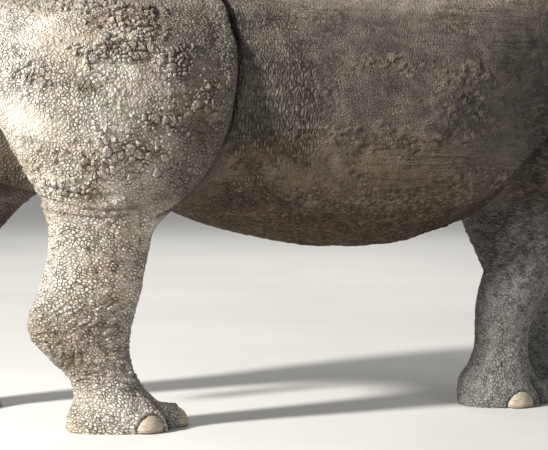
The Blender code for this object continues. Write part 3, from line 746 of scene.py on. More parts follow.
# Folds round the neck: a point of the plane of each, its lean, depth and half width.
NECK_FOLDS = (
    ((2.235, 1.20), 0.36, 0.020, 0.013),
    ((2.120, 1.20), 0.22, 0.015, 0.012),
    ((1.985, 1.20), 0.10, 0.017, 0.015),
    ((2.325, 1.20), 0.50, 0.010, 0.010),
)


# Bones and muscles, the same on both sides: how far each stands out, its place, its radii.
BONES = {
    "hind": (
        (0.012, (0.28, 0.33, 1.43), (0.09, 0.09, 0.06)),
        (0.008, (-0.33, 0.42, 1.22), (0.08, 0.12, 0.10)),
        (0.007, (0.10, 0.50, 0.86), (0.08, 0.10, 0.07)),
    ),
    "fore": (
        (0.010, (1.70, 0.34, 1.36), (0.05, 0.14, 0.13)),
        (0.010, (1.52, 0.45, 0.80), (0.05, 0.08, 0.06)),
        (0.008, (1.93, 0.36, 0.98), (0.06, 0.10, 0.08)),
    ),
}
SPINE_RISE = 0.008
LEG_TOPS = {"hind": 0.80, "fore": 0.74}  # where the legs' own hide ends


def line_distance(x, z, line):
    """Distance to an eased line in the side view, signed: above 0 in front of it, and the share along it."""
    points = eased(line, 8 * len(line))
    best = np.full(len(x), 9.0)
    sign = np.ones(len(x))
    share = np.zeros(len(x))
    for i, (a, b) in enumerate(zip(points, points[1:])):
        run = b - a
        t = np.clip(((x - a[0]) * run[0] + (z - a[1]) * run[1]) / (run @ run), 0, 1)
        dx, dz = x - a[0] - t * run[0], z - a[1] - t * run[1]
        away = np.hypot(dx, dz)
        nearer = away < best
        best = np.where(nearer, away, best)
        sign = np.where(nearer, np.sign(run[0] * dz - run[1] * dx), sign)
        share = np.where(nearer, (i + t) / (len(points) - 1), share)
    return best * sign, share


class Surface:
    """The skin's points with what has been worked out for them so far."""

    def __init__(self, points, facing):
        self.p, self.n = points, facing
        self.x, self.y, self.z = points.T
        self.wide = np.abs(self.y)
        self.count = len(points)
        left = self.y > 0
        self.hind_x = self.x - np.where(left, HIND_SHIFT, 0.0)
        self.fore_x = self.x - np.where(left, FORE_SHIFT, 0.0)
        rel = points - CREST
        self.along, self.out = rel @ FACE_ALONG, rel @ FACE_OUT

    def only(self, mask, rule):
        """rule(points that mask picks) as an array over all points, 0 elsewhere."""
        result = np.zeros(self.count)
        picked = np.flatnonzero(mask > FAINT)
        if len(picked):
            result[picked] = rule(picked) * mask[picked]
        return result


def leg_place(limb, points):
    """Where points lie round a leg: ahead, across (1 at its surface) and distance from its middle."""
    rows = eased(leg_stations(limb), LEG_GRAIN[0])[::-1]
    back, front, inner, outer = (np.interp(points[:, 2], rows[:, 0], rows[:, k]) for k in (1, 2, 3, 4))
    ahead = (points[:, 0] - (back + front) / 2) / ((front - back) / 2)
    across = (side_of(limb) * points[:, 1] - (inner + outer) / 2) / ((outer - inner) / 2)
    return ahead, across, np.hypot(ahead, across)


def tail_middle(height):
    """How far back the tail's middle hangs at a height."""
    return np.interp(-height, [-row[1] for row in TAIL], [row[0] for row in TAIL])


def clusters(s, here, rows):
    """How thickly the clusters of one side lie where here allows."""
    return sum(
        here * much * np.exp(-(((s.x - x) / along) ** 2) - ((s.z - z) / up) ** 2)
        for x, z, along, up, much in rows
    )


def leg_masks(s):
    """Soft masks of the hind legs and of the forelegs below the trunk."""
    masks = dict.fromkeys(LEG_TOPS, 0.0)
    for limb in LEGS:
        end = limb.split("_")[0]
        around = fades(leg_place(limb, s.p)[2], 1.23, 1.35)
        masks[end] = np.maximum(masks[end], around * smooth(LEG_TOPS[end] - s.z, -0.08, 0.10))
    return masks.values()


def ear_mask(s):
    """A soft mask of both ears, worked out on the left one."""
    root, along, _, _ = ear_axes(1)
    mirrored = np.stack([s.x, s.wide, s.z], 1) - root
    share = mirrored @ along / EAR_LENGTH
    aside = np.linalg.norm(mirrored - np.outer(share * EAR_LENGTH, along), axis=1)
    return smooth(share, 0.02, 0.14) * (share < 1.3) * (aside < 0.10)


def dust_light_and_shade_masks(s, r):
    """Where dust lies, which also stands for painted light on the lit rear of the haunch, and painted shade
    on the left hind leg and the inner side of the right haunch, where no dust is laid.
    """
    front = 0.10 + 0.10 * (s.z - 1.1) + 0.07 * layered(s.p / 0.16, 83, 3)
    ragged = 0.05 * layered(s.p / 0.08, 89, 3)
    # painted shade on the left hind leg and the inner side of the right haunch, below about 1.1 m
    wet = smooth(s.y + 0.4 * ragged, -0.11, -0.03) * fades(s.z + ragged, 1.06, 1.20)
    wet = wet * np.maximum(r["thigh"], r["hind_leg"])
    # dust thins towards the thigh's front: partly painted light on the lit rear of the thigh
    dust = r["thigh"] * (1 - 0.85 * smooth(s.hind_x, front - 0.16, front + 0.06))
    dust = np.maximum(dust, r["hind_leg"]) * (1 - 0.96 * wet)
    return np.maximum(dust, np.maximum(0.45 * r["back"], 0.5 * r["tail"])), wet


def mark_regions(s):
    """Soft masks of the parts of the body, each from 0 to 1."""
    r = {}
    from_tail = np.hypot(s.x - tail_middle(s.z), s.y)
    r["tail"] = smooth(0.085 - from_tail, 0.0, 0.025) * fades(s.z, 1.26, 1.38) * (s.x < -0.5)
    hind_leg, r["fore_leg"] = leg_masks(s)
    fold_z, fold_x = zip(*((z, x) for x, z in reversed(FLANK_FOLD)))
    behind_fold = smooth(np.interp(s.z, fold_z, fold_x) - s.hind_x, -0.01, 0.03)
    r["hind_leg"] = hind_leg * np.maximum(behind_fold, fades(s.z, 0.70, 0.76))
    r["thigh"] = behind_fold * smooth(s.z, 0.68, 0.82) * (1 - r["tail"]) * fades(s.z, 1.42, 1.52)
    r["head"] = smooth(s.x + 0.55 * s.z, 2.95, 3.10) * smooth(s.x, 2.10, 2.25)
    r["neck"] = within(s.fore_x, 1.92, 2.30, 0.10) * (1 - r["head"]) * (s.z > 0.7)
    off_leg, off_thigh = 1 - r["fore_leg"], 1 - r["thigh"]
    r["flank"] = within(s.x, 0.30, 1.50, 0.08) * within(s.z, 0.70, 1.44, 0.06) * off_thigh * off_leg
    r["belly"] = within(s.x, 0.0, 1.55, 0.10) * fades(s.z, 0.70, 0.90) * (1 - hind_leg) * off_leg
    sides = smooth(s.wide, 0.10, 0.20)
    r["shoulder"] = within(s.fore_x, 1.53, 1.98, 0.14) * within(s.z, 0.70, 1.48, 0.06) * sides
    r["back"] = smooth(s.z, 1.38, 1.50) * (1 - r["head"])
    r["upright"] = within(s.hind_x, 0.36, 0.60, 0.06) * within(s.z, 0.80, 1.5, 0.1) * off_thigh * sides
    r["creased"] = np.maximum(r["shoulder"], r["fore_leg"]) * smooth(s.z, 0.34, 0.50) * fades(s.z, 1.0, 1.3)
    stain = clusters(s, s.y < 0, STAINS)
    r["stain"] = np.clip(stain + 0.5 * layered(s.p / 0.05, 87, 3) * (stain > 0.1), 0, 1)
    r["dust"], r["wet"] = dust_light_and_shade_masks(s, r)
    r["low"] = within(s.z, 0.80, 0.98, 0.06) * within(s.x, 0.45, 1.05, 0.20) * off_thigh * off_leg
    r["ear"] = ear_mask(s)
    r["head"] = np.maximum(r["head"], r["ear"])
    for name in ("back", "neck", "dust"):
        r[name] = r[name] * (1 - r["ear"])
    return r


def large_forms(s, r):
    """Bones and muscles that show through the skin."""
    rise = np.full(s.count, -INSET)
    for end, shift_x in (("hind", s.hind_x), ("fore", s.fore_x)):
        mirrored = np.stack([shift_x, s.wide, s.z], 1)
        rise += sum(height * blob(mirrored, place_at, radii) for height, place_at, radii in BONES[end])
    spine = bell(s.y, 0.035) * smooth(s.z, 1.40, 1.48) * within(s.x, -0.25, 1.35, 0.10)
    rise += SPINE_RISE * spine
    rise += s.only(1 - r["ear"], lambda i: 0.0030 * layered(s.p[i] / 0.16, 5, 2))
    rise += s.only((1 - r["ear"]) * (1 - r["head"]), lambda i: 0.0016 * noise(s.p[i] / 0.035, 9))
    return rise


def fold(s, x, line, width, depth, lip, behind=True, sunk=0.0):
    """A crease along a line in the side view, one side rolling over it and the other sunk beneath it.

    Gives rise and darkness, which is painted shade in the crease and, where the edge overhangs, on the sunk
    side beneath it.
    """
    middle = np.mean([x_at for x_at, _ in line])
    i = np.flatnonzero((s.wide > FOLD_CLEAR) & (np.abs(x - middle) < FOLD_SPAN))
    rise, dark = np.zeros((2, s.count))
    away, share = line_distance(x[i] + 0.006 * noise(s.p[i] / 0.07, 31), s.z[i], line)
    fade = within(share, 0.06, 0.95, 0.06)
    rolled = -away if behind else away
    roll = smooth(rolled, -0.2 * width, 0.9 * width) * fades(rolled, 2.0 * width, 7.0 * width)
    below = smooth(-rolled, -0.3 * width, width) * np.exp(-np.maximum(-rolled, 0) / (5 * width))
    rise[i] = fade * (lip * roll - sunk * below - depth * bell(away, width) * (1 - 0.6 * roll))
    # painted shade on the sunk side, under the overhanging edge
    shaded = 0.85 * below * np.exp(-np.maximum(-rolled, 0) / (3 * width)) if sunk else 0.0
    dark[i] = fade * np.maximum(bell(away, width * 0.9), shaded)
    return rise, dark


def neck_fold(s, point, lean, depth, width):
    """A crease round the neck in a leaning plane, deepest low on the sides. Gives rise and painted shade in
    the crease.
    """
    away = (s.x - point[0]) + lean * (s.z - point[1]) + 0.010 * noise(s.p / 0.09, 47)
    mask = within(s.z, 0.86, 1.42, 0.12) * (np.abs(away) < 0.12) * (s.x > 1.85)
    mask = mask * (1 - smooth(s.along, -0.02, 0.16) * smooth(s.out, -0.48, -0.40))
    mask = mask * (0.5 + 0.5 * fades(s.z, 1.05, 1.35))
    roll = smooth(away, -0.1 * width, width) * fades(away, 2 * width, 5 * width)
    return mask * (0.5 * depth * roll - depth * bell(away, width)), mask * bell(away, width)


def all_folds(s, r):
    rise, dark = np.zeros((2, s.count))
    made = (
        fold(s, s.hind_x, FLANK_FOLD, 0.013, 0.026, 0.012),
        *(fold(s, s.hind_x, line, 0.007, 0.0024, 0.0028, behind=False) for line in KNEE_CREASES),
        fold(s, s.fore_x, TRUNK_EDGE, 0.013, 0.022, 0.010, behind=False, sunk=0.046),
        fold(s, s.fore_x, BRISKET_FOLD, 0.012, 0.012, 0.006),
        *(neck_fold(s, *row) for row in NECK_FOLDS),
    )
    for number, (up, shade) in enumerate(made):
        rise += up * (1 - r["ear"])
        dark = np.maximum(dark, shade * (KNEE_SHADE if 0 < number <= len(KNEE_CREASES) else 1.0))
    # a crease down each side of the middle below the tail, with painted shade in it
    rear = within(s.x, -0.60, -0.30, 0.06) * within(s.z, 0.95, 1.30, 0.10) * (1 - r["tail"])
    seat = bell(s.wide - 0.095 - 0.10 * (1.30 - s.z), 0.014)
    rise -= 0.012 * rear * seat
    dark = np.maximum(dark, rear * seat * 0.8)
    return rise, dark


def domes(first, second, own, edge):
    """Rounded pebbles with cracks between them, each of its own height: from 0 to 1."""
    flat = smooth(second - first, 0.0, edge)
    return flat * (0.55 + 0.45 * own) * (1 - 0.35 * np.clip(first, 0, 1) ** 2)


# Clusters of dried mud on the right side: distance, height, radius along, radius up, share of lumps.
MUD_RIGHT = (
    (-0.21, 1.455, 0.17, 0.024, 0.9),
    (0.00, 1.405, 0.10, 0.055, 1.1),
    (-0.055, 1.310, 0.065, 0.035, 1.0),
    (-0.13, 1.285, 0.10, 0.030, 0.6),
    (0.13, 1.250, 0.055, 0.060, 1.0),
    (0.24, 1.175, 0.030, 0.030, 0.6),
    (0.05, 1.070, 0.060, 0.028, 0.9),
    (0.215, 1.115, 0.060, 0.035, 0.8),
    (-0.09, 0.940, 0.16, 0.070, 0.62),
    (-0.25, 0.840, 0.12, 0.050, 0.55),
    (-0.24, 0.270, 0.07, 0.050, 0.70),
    (-0.38, 1.210, 0.04, 0.035, 0.6),
    (0.66, 1.020, 0.13, 0.022, 0.8),
    (0.98, 0.965, 0.14, 0.035, 0.5),
    (0.50, 0.905, 0.14, 0.035, 0.35),
    (0.85, 0.770, 0.40, 0.050, 0.6),
    (1.28, 0.840, 0.16, 0.050, 0.6),
    (0.62, 1.430, 0.16, 0.060, 0.35),
    (0.95, 1.250, 0.20, 0.050, 0.25),
    (1.22, 1.120, 0.10, 0.110, 0.6),
    (1.72, 1.200, 0.10, 0.120, 0.5),
    (2.05, 1.250, 0.08, 0.090, 0.4),
)
# The same for the left side.
MUD_LEFT = (
    (-0.20, 1.380, 0.13, 0.060, 0.9),
    (0.08, 1.330, 0.09, 0.080, 0.9),
    (-0.05, 1.120, 0.12, 0.060, 0.8),
    (-0.22, 0.930, 0.13, 0.060, 0.9),
    (0.60, 1.080, 0.16, 0.050, 0.7),
    (0.95, 0.930, 0.20, 0.060, 0.7),
    (0.80, 0.770, 0.36, 0.060, 0.8),
    (1.10, 1.300, 0.14, 0.070, 0.6),
    (1.30, 0.900, 0.15, 0.060, 0.8),
    (1.75, 1.150, 0.12, 0.120, 0.6),
    (2.00, 1.330, 0.10, 0.080, 0.4),
)
# Brown stains on the right side: distance, height, radius along, radius up, strength.
STAINS = (
    (-0.22, 0.270, 0.06, 0.060, 0.8),
    (-0.28, 0.345, 0.05, 0.030, 0.5),
    (0.030, 1.240, 0.03, 0.030, 0.7),
    (0.200, 1.060, 0.05, 0.060, 0.7),
    (-0.100, 1.400, 0.10, 0.040, 0.4),
    (-0.150, 1.170, 0.12, 0.040, 0.3),
    (0.020, 1.330, 0.10, 0.090, 0.4),
    (0.450, 0.920, 0.20, 0.050, 0.5),
)
# Lumps of mud, large and small: size, height, seed, share.
MUD_LUMPS = ((0.030, 0.0165, 131, 0.75), (0.017, 0.0105, 133, 1.0))


def mud_share(s):
    """How thickly lumps of dried mud lie, from 0 to 1."""
    share = clusters(s, s.y < -0.03, MUD_RIGHT) + clusters(s, s.y > 0.03, MUD_LEFT)
    ragged = 0.40 * layered(s.p / 0.06, 61, 3)
    return np.clip(share + ragged * np.minimum(1, share * 3), 0, 1)


def pebbles(s, r, clear):
    """The rows of pebbles, scales and wrinkles: for each kind where it lies, how high it stands, the sizes of
    one along the three axes, its seed, the points it follows, the width of its cracks and how dark they are,
    a darkness that is partly painted shade.
    """
    bent = s.p + 0.006 * np.stack([noise(s.p / 0.04, 71), noise(s.p / 0.04, 72), noise(s.p / 0.04, 73)], 1)
    rows, slant = bent.copy(), bent.copy()
    rows[:, 2] -= 0.42 * within(s.z, 0.36, 0.72, 0.10) * s.x
    slant[:, 2] -= 0.40 * s.x
    ankle = within(s.z, 0.16, 0.42, 0.06)
    over_toes = smooth(s.z, 0.10, 0.20)
    lumpy = smooth(layered(s.p / 0.12, 75, 2), -0.25, 0.35)
    upper = np.maximum(r["shoulder"], r["fore_leg"]) * smooth(s.z, 0.40, 0.52) * fades(s.z, 1.15, 1.4)
    patches = smooth(layered(s.p / 0.11, 77, 3), 0.05, 0.40)
    return bent, (
        (r["hind_leg"] * clear * over_toes, 0.0026, (0.022, 0.022, 0.0130), 101, rows, 0.42, 0.0),
        (r["hind_leg"] * clear * ankle, 0.0056, (0.060, 0.060, 0.017), 103, rows, 0.50, 0.5),
        (r["hind_leg"] * (1 - over_toes), 0.0026, (0.014, 0.014, 0.024), 105, bent, 0.32, 0.2),
        (r["thigh"] * clear, 0.0022, (0.0150, 0.0150, 0.0130), 107, bent, 0.38, 0.0),
        (r["thigh"] * clear * lumpy, 0.0034, (0.032, 0.032, 0.025), 109, bent, 0.30, 0.35),
        (upper * clear, 0.0068, (0.110, 0.110, 0.019), 111, slant, 0.55, 0.6),
        (r["fore_leg"] * clear, 0.0026, (0.018, 0.018, 0.013), 113, slant, 0.32, 0.3),
        (r["shoulder"] * clear, 0.0022, (0.020, 0.020, 0.016), 115, bent, 0.32, 0.3),
        (r["flank"] * clear * patches, 0.0034, (0.024, 0.024, 0.018), 117, bent, 0.32, 0.8),
        (r["belly"] * clear, 0.0058, (0.026, 0.026, 0.021), 119, bent, 0.32, 0.9),
        (r["upright"] * clear, 0.0030, (0.013, 0.013, 0.050), 121, bent, 0.45, 0.2),
        (r["neck"] * clear, 0.0022, (0.015, 0.020, 0.022), 123, bent, 0.40, 0.3),
        (r["neck"] * clear, 0.0034, (0.020, 0.060, 0.110), 124, bent, 0.50, 0.5),
        (r["back"] * clear, 0.0020, (0.018, 0.016, 0.016), 125, bent, 0.32, 0.3),
        (r["head"] * (1 - r["ear"]), 0.0012, (0.011, 0.011, 0.011), 127, bent, 0.32, 0.3),
        (r["tail"], 0.0018, (0.018, 0.018, 0.010), 129, bent, 0.32, 0.4),
    )


def fine_forms(s, r):
    """Pebbles, rows of scales, wrinkles and lumps of mud. Gives rise, cracks and mud; the cracks are dark
    lines, partly painted shade in them and in the gaps between lumps.
    """
    rise, crack, clods = np.zeros((3, s.count))
    mud = mud_share(s) * (1 - r["ear"]) * (1 - r["head"])
    clear = 1 - 0.8 * smooth(mud, 0.35, 0.8)
    bent, kinds = pebbles(s, r, clear)
    for mask, height, sizes, seed, points, edge, dark in kinds:
        i = np.flatnonzero(mask > FAINT)
        first, second, own = cells(points[i] / np.array(sizes), seed)
        rise[i] += mask[i] * height * (domes(first, second, own, edge) - 0.6)
        # cracks darkened, partly as painted shade in them
        crack[i] = np.maximum(crack[i], fades(second - first, 0.0, edge * 0.75) * mask[i] * dark)

    i = np.flatnonzero(mud > 0.03)
    for size, height, seed, much in MUD_LUMPS:
        first, second, own = cells(bent[i] / size, seed)
        there = smooth(mud[i] * much - own, -0.08, 0.06)
        height = height * (0.35 + 0.65 * r["thigh"][i])
        lump = there * smooth(second - first, 0.02, 0.26) * (1 - 0.45 * np.clip(first, 0, 1) ** 2)
        rise[i] = np.maximum(rise[i], height * lump * (0.6 + 0.4 * own))
        # the gaps between lumps darkened as painted shade
        crack[i] = np.maximum(crack[i], there * fades(second - first, 0.0, 0.20))
        clods[i] = np.maximum(clods[i], lump)

    first, _, own = cells(s.p / 0.045, 135)
    pips = (own > 0.72) * fades(first, 0.10, 0.24) * (r["thigh"] + 0.6 * r["flank"] + 0.5 * r["shoulder"])
    rise += 0.0042 * pips * clear
    return rise, crack, np.maximum(clods, 0.8 * np.clip(pips, 0, 1))


# ---------------------------------------------------------------- the head's features
LID_SPAN, LID_OPEN = 0.86, 0.50  # half length and half height of the eye's opening, as shares of its radius
LID_BEND = 0.10  # how far the middle of the slit stands above its corners
LID_FOLDS = (1.72, 2.32)  # where two creases run round the lids, in half widths of the slit
LID_TUCK = 0.006  # how far inside the eyeball the skin within the slit is hidden
SLIT_TURN = 14  # degrees that the slit climbs from the line of the face
NOSTRIL = (0.772, -0.128)  # along the face, out from the forehead line
NOSTRIL_LEAN, NOSTRIL_LONG, NOSTRIL_TALL = math.radians(28), 0.039, 0.018
MOUTH = ((0.900, -0.206), (0.860, -0.216), (0.800, -0.224), (0.735, -0.230), (0.690, -0.237), (0.655, -0.248))
MOUTH_CORNER = (0.640, -0.222)
COLLAR = 0.014  # the skin is raised round a horn this far out from it
# Forms of the face: how far each stands out, its place (along, out, aside) and its radii.
FACE = (
    (0.012, (0.385, -0.098, 0.135), (0.055, 0.022, 0.035)),
    (0.007, (0.455, -0.125, 0.130), (0.030, 0.025, 0.030)),
    (0.010, (0.21, -0.31, 0.165), (0.085, 0.075, 0.06)),
    (-0.010, (0.22, -0.11, 0.150), (0.080, 0.040, 0.05)),
    (0.008, (0.30, -0.215, 0.165), (0.110, 0.020, 0.04)),
    (0.006, (0.405, -0.196, 0.160), (0.045, 0.016, 0.04)),
    (-0.007, (0.53, -0.20, 0.14), (0.070, 0.045, 0.05)),
    (0.008, (0.70, -0.19, 0.14), (0.060, 0.030, 0.04)),
    (0.020, (0.805, -0.050, 0.0), (0.035, 0.045, 0.075)),
)


def lids(s):
    """Moves the skin round each eye on to a thin rim over the eyeball, with an open slit. Gives painted shade
    along the lids' edges and in the creases round them.
    """
    dark = np.zeros(s.count)
    slit, up = slit_axes()
    for side in SIDES.values():
        centre = eye_centre(side)
        i = np.flatnonzero(np.linalg.norm(s.p - centre, axis=1) < 0.075)
        away = s.p[i] - centre
        reach = np.linalg.norm(away, axis=1)
        heading = away / reach[:, None]
        u, v = heading @ slit, heading @ up
        v = v - LID_BEND * (1 - u**2)
        height = np.where(v > 0, LID_OPEN, LID_OPEN * 0.85)
        edge = np.sqrt((u / LID_SPAN) ** 2 + (v / height) ** 2) + 4 * (heading[:, 1] * side < 0)
        shell = EYE_RADIUS + 0.0012 + 0.0034 * smooth(edge, 1.0, 1.28)
        shell = shell - 0.0026 * bell(edge - LID_FOLDS[0], 0.13)
        shell = shell + 0.0016 * bell(edge - 2.0, 0.16) - 0.0016 * bell(edge - LID_FOLDS[1], 0.10)
        radius = EYE_RADIUS - LID_TUCK + (shell - EYE_RADIUS + LID_TUCK) * smooth(edge, 0.93, 1.04)
        hold = fades(reach, 0.024, 0.044) * (heading[:, 1] * side > 0.05)
        s.p[i] += (centre + heading * radius[:, None] - s.p[i]) * hold[:, None]
        crease = np.maximum(bell(edge - LID_FOLDS[0], 0.12), 0.8 * bell(edge - LID_FOLDS[1], 0.10))
        dark[i] = np.maximum(dark[i], hold * np.maximum(bell(edge - 1.0, 0.10), 0.6 * crease))
    return dark


def nostrils(along, out, wide):
    """Slanting oval pits with raised rims. Gives rise and pit; the pit is also painted shade."""
    a, o = along - NOSTRIL[0], out - NOSTRIL[1]
    c, s = math.cos(NOSTRIL_LEAN), math.sin(NOSTRIL_LEAN)
    u, v = a * c + o * s, o * c - a * s
    edge = np.sqrt((u / NOSTRIL_LONG) ** 2 + ((v - 5.0 * u**2) / NOSTRIL_TALL) ** 2)
    flank = smooth(wide, 0.085, 0.115)
    pit = flank * fades(edge, 0.55, 1.08)
    return flank * 0.009 * bell(edge - 1.40, 0.32) - 0.034 * pit, pit


def lips(along, out):
    """A deep line round the muzzle between full lips. Gives rise and line; the line is painted shade."""
    away, share = line_distance(along, out, MOUTH)
    hold = fades(share, 0.88, 1.0) * smooth(along, 0.63, 0.66)
    line = bell(away, 0.0034) * hold
    return (0.007 * bell(away - 0.020, 0.016) + 0.003 * bell(away + 0.020, 0.014)) * hold - 0.009 * line, line


def face_wrinkles(along, out, wide, warp, pit):
    """Waves round the eye and the mouth's corner, over the muzzle and the brow and under the jaw."""
    from_eye = np.hypot(along - EYE_ALONG + 0.3 * (out - EYE_DOWN), (out - EYE_DOWN) * 1.15) + warp
    corner = np.hypot(along - MOUTH_CORNER[0], out - MOUTH_CORNER[1]) + warp
    waves = (  # depth, where they lie, distance that they follow, spacing, sharpness
        (0.0026, within(from_eye, 0.036, 0.080, 0.012) * smooth(wide, 0.08, 0.12), from_eye, 0.0100, 3),
        (0.0030, within(corner, 0.012, 0.075, 0.010) * (along < 0.66), corner, 0.014, 3),
        (0.0018, within(along, 0.70, 0.88, 0.03) * smooth(out, -0.21, -0.17) * (1 - pit),
         out + 0.25 * along + warp, 0.0125, 3),
        (0.0018, within(along, 0.06, 0.34, 0.04) * smooth(out, -0.16, -0.06), along + 1.2 * warp, 0.022, 4),
        (0.0030, within(along, 0.10, 0.60, 0.05) * fades(out, -0.32, -0.26),
         along * 0.9 + 0.5 * out + 1.5 * warp, 0.026, 3),
    )
    return sum(
        depth * where * (0.5 + 0.5 * np.cos(away * (2 * math.pi / spacing))) ** power
        for depth, where, away, spacing, power in waves
    )


def face_forms(s, r):
    """Brow, cheek, horn collars, nostrils, lips and wrinkles. Gives rise and darkness, the painted shade in
    the nostrils and the mouth's line.
    """
    rise, dark = np.zeros((2, s.count))
    i = np.flatnonzero((r["head"] > 0.01) & (r["ear"] < 0.5))
    along, out, wide = s.along[i], s.out[i], s.wide[i]
    here = np.stack([along, out, wide], 1)
    up = sum(height * blob(here, place_at, radii) for height, place_at, radii in FACE)
    for horn_along, long, across, _, _ in HORNS.values():
        away = np.hypot((along - horn_along) / (long + COLLAR), wide / (across + COLLAR))
        up += smooth(out, -0.13, -0.07) * 0.013 * bell(away - 1.0, 0.17)
    nose_up, pit = nostrils(along, out, wide)
    lip_up, line = lips(along, out)
    up += nose_up + lip_up
    up -= face_wrinkles(along, out, wide, 0.010 * noise(s.p[i] / 0.03, 203), pit)
    hold = r["head"][i] * (1 - r["ear"][i])
    rise[i] = up * hold
    dark[i] = np.maximum(pit, line) * hold
    return rise, dark


def foot_forms(s):
    """Clefts between the toes, a rim over each nail and the swelling pad of the sole. Gives rise and
    darkness, the painted shade in the clefts and round the edge of each nail.
    """
    rise, dark = np.zeros((2, s.count))
    for limb in LEGS:
        ahead, across, reach = leg_place(limb, s.p)
        foot = fades(s.z, 0.085, 0.14) * (reach < 1.6)
        i = np.flatnonzero(foot > FAINT)
        bearing = np.degrees(np.arctan2(across[i], ahead[i]))
        for middle in CLEFTS[limb.split("_")[0]]:
            between = bell(bearing - middle, 6.5) * foot[i]
            rise[i] -= 0.020 * between
            dark[i] = np.maximum(dark[i], 0.9 * between)
        for place_at, heading, half in toe_places(limb):
            local = s.p[i] - nail_middle(place_at, heading)
            axes = np.stack([heading, np.cross((0, 0, 1), heading), (0, 0, 1)], 1)
            edge = np.linalg.norm(local @ axes / (NAIL_DEPTH, half * NAIL_SHARE, NAIL_HEIGHT), axis=1)
            rise[i] += 0.006 * bell(edge - 1.16, 0.12) * foot[i]
            rise[i] -= 0.012 * fades(edge, 0.80, 1.02)
            dark[i] = np.maximum(dark[i], 0.8 * bell(edge - 1.0, 0.06))
        rise[i] += 0.004 * smooth(-ahead[i], 0.3, 0.8) * within(s.z[i], 0.012, 0.05, 0.012)
    return rise, dark


def soften_roots(mesh):
    """Rounds the skin where the ears and the tail grow out of it."""
    p = coordinates(mesh)
    roots = blob(p, (-0.535, 0.0, 1.365), (0.07, 0.10, 0.08))
    for side in SIDES.values():
        root, along, _, _ = ear_axes(side)
        roots = np.maximum(roots, blob(p, root + along * 0.020, 0.042))
    soften(mesh, roots, ROOT_ROUNDS)


def sculpted(bm):
    """The skin's mesh, with its masks stored as attributes, and a rule for a hair's place on the unwrap."""
    mesh = written("skin", bm)
    soften_roots(mesh)
    start, facing = coordinates(mesh), normals(mesh)
    s = Surface(start, facing)
    r = mark_regions(s)
    forms = [all_folds(s, r), face_forms(s, r), foot_forms(s)]
    rise = large_forms(s, r) + sum(up for up, _ in forms)
    s.p = s.p + s.n * rise[:, None]
    lifted = s.z + (s.p[:, 2] - s.z) * smooth(s.z, 0.0, 0.006)
    s.p[:, 2] = np.where(s.z < SOLE_EDGE, lifted, s.p[:, 2])
    dark = sum(shade for _, shade in forms) + lids(s)
    place(mesh, s.p)

    fine = Surface(s.p, normals(mesh))
    up, crack, mud = fine_forms(fine, r)
    eye_near = np.maximum(*(blob(fine.p, eye_centre(side), 0.034) for side in SIDES.values()))
    up = up * smooth(fine.z, 0.004, SOLE_EDGE) * (1 - np.clip(1.6 * eye_near, 0, 1)) * (1 - 0.7 * r["ear"])
    place(mesh, fine.p + fine.n * up[:, None])

    muzzle = smooth((fine.p - CREST) @ FACE_ALONG, 0.74, 0.90) * r["head"]
    store(
        mesh,
        even=np.maximum(0.75 * muzzle, np.clip(1.3 * eye_near, 0, 0.9)),
        # fold: painted shade in folds, creases, clefts, pits and round the eyes and nails
        fold=np.clip(dark, 0, 1),
        crack=np.clip(crack, 0, 1),
        mud=np.clip(mud, 0, 1),
        **r,
    )
    spots = unwrap(mesh, start, facing, r)
    hairy = np.flatnonzero((r["ear"] > 0.2) | (r["tail"] > 0.2) | (eye_near > 0.05))
    hairy = hairy[:: max(1, len(hairy) // ROOTS)]
    tree = KDTree(len(hairy))
    for number, point in enumerate(fine.p[hairy]):
        tree.insert(point, number)
    tree.balance()
    return mesh, lambda point: spots[hairy[tree.find(point)[1]]]


# ---------------------------------------------------------------- the unwrap
TRUNK_AXIS, TRUNK_GIRTH, LEG_GIRTH, HEAD_GIRTH, EAR_GIRTH, TAIL_GIRTH = 1.12, 0.48, 0.14, 0.19, 0.045, 0.035
SHELF, MARGIN = 4.2, 0.02  # width of the sheet that the parts are laid on, and the gap between them
PATCH = 0.003  # a hair's share of the sheet


def wrapped(across, up, radius, along):
    """Points laid flat from a tube: length round it, length along it, and the whole way round."""
    return np.arctan2(across, up) * radius, along, 2 * math.pi * radius


def dropped(first, second):
    """A rule that lays points flat by two of their coordinates."""
    return lambda p: (p[:, first], p[:, second], 0)


def side_part(side):
    def flat(p):
        round_it, _, _ = wrapped(p[:, 1] * side, p[:, 2] - TRUNK_AXIS, TRUNK_GIRTH, 0)
        return p[:, 0], round_it, 0

    return lambda c, n, r: c[:, 1] * side >= 0, flat


def inner_part(side, low, high):
    """The side of the legs that faces the other leg, between two places along the body."""
    def takes(c, n, r):
        inward = (n[:, 1] * side < -0.35) & (c[:, 1] * side > 0.02)
        return inward & (c[:, 0] > low) & (c[:, 0] < high) & (c[:, 2] < 1.1)

    return takes, dropped(0, 2)


def leg_part(limb):
    end, side = limb.split("_")[0], side_of(limb)

    def flat(p):
        ahead, across, _ = leg_place(limb, p)
        return wrapped(across, ahead, LEG_GIRTH, p[:, 2])

    return lambda c, n, r: (r[end + "_leg"] > 0.5) & (c[:, 1] * side > 0), flat


def sole_part(limb):
    hind, side = limb.startswith("hind"), side_of(limb)

    def takes(c, n, r):
        return (c[:, 2] < 0.003) & (n[:, 2] < -0.6) & (c[:, 1] * side > 0) & ((c[:, 0] < 0.8) == hind)

    return takes, dropped(0, 1)


def from_crest(p):
    """Points in the head's frame: to the left, out and along."""
    away = p - CREST
    return away[:, 1], away @ FACE_OUT, away @ FACE_ALONG


def round_head(p):
    across, out, along = from_crest(p)
    return wrapped(across, out + 0.20, HEAD_GIRTH, along)


def head_end(way):
    """The muzzle's flat end, or the back of the head."""
    return (
        lambda c, n, r: (r["head"] > 0.5) & (n @ FACE_ALONG * way > 0.75),
        lambda p: (*from_crest(p)[:2], 0),
    )


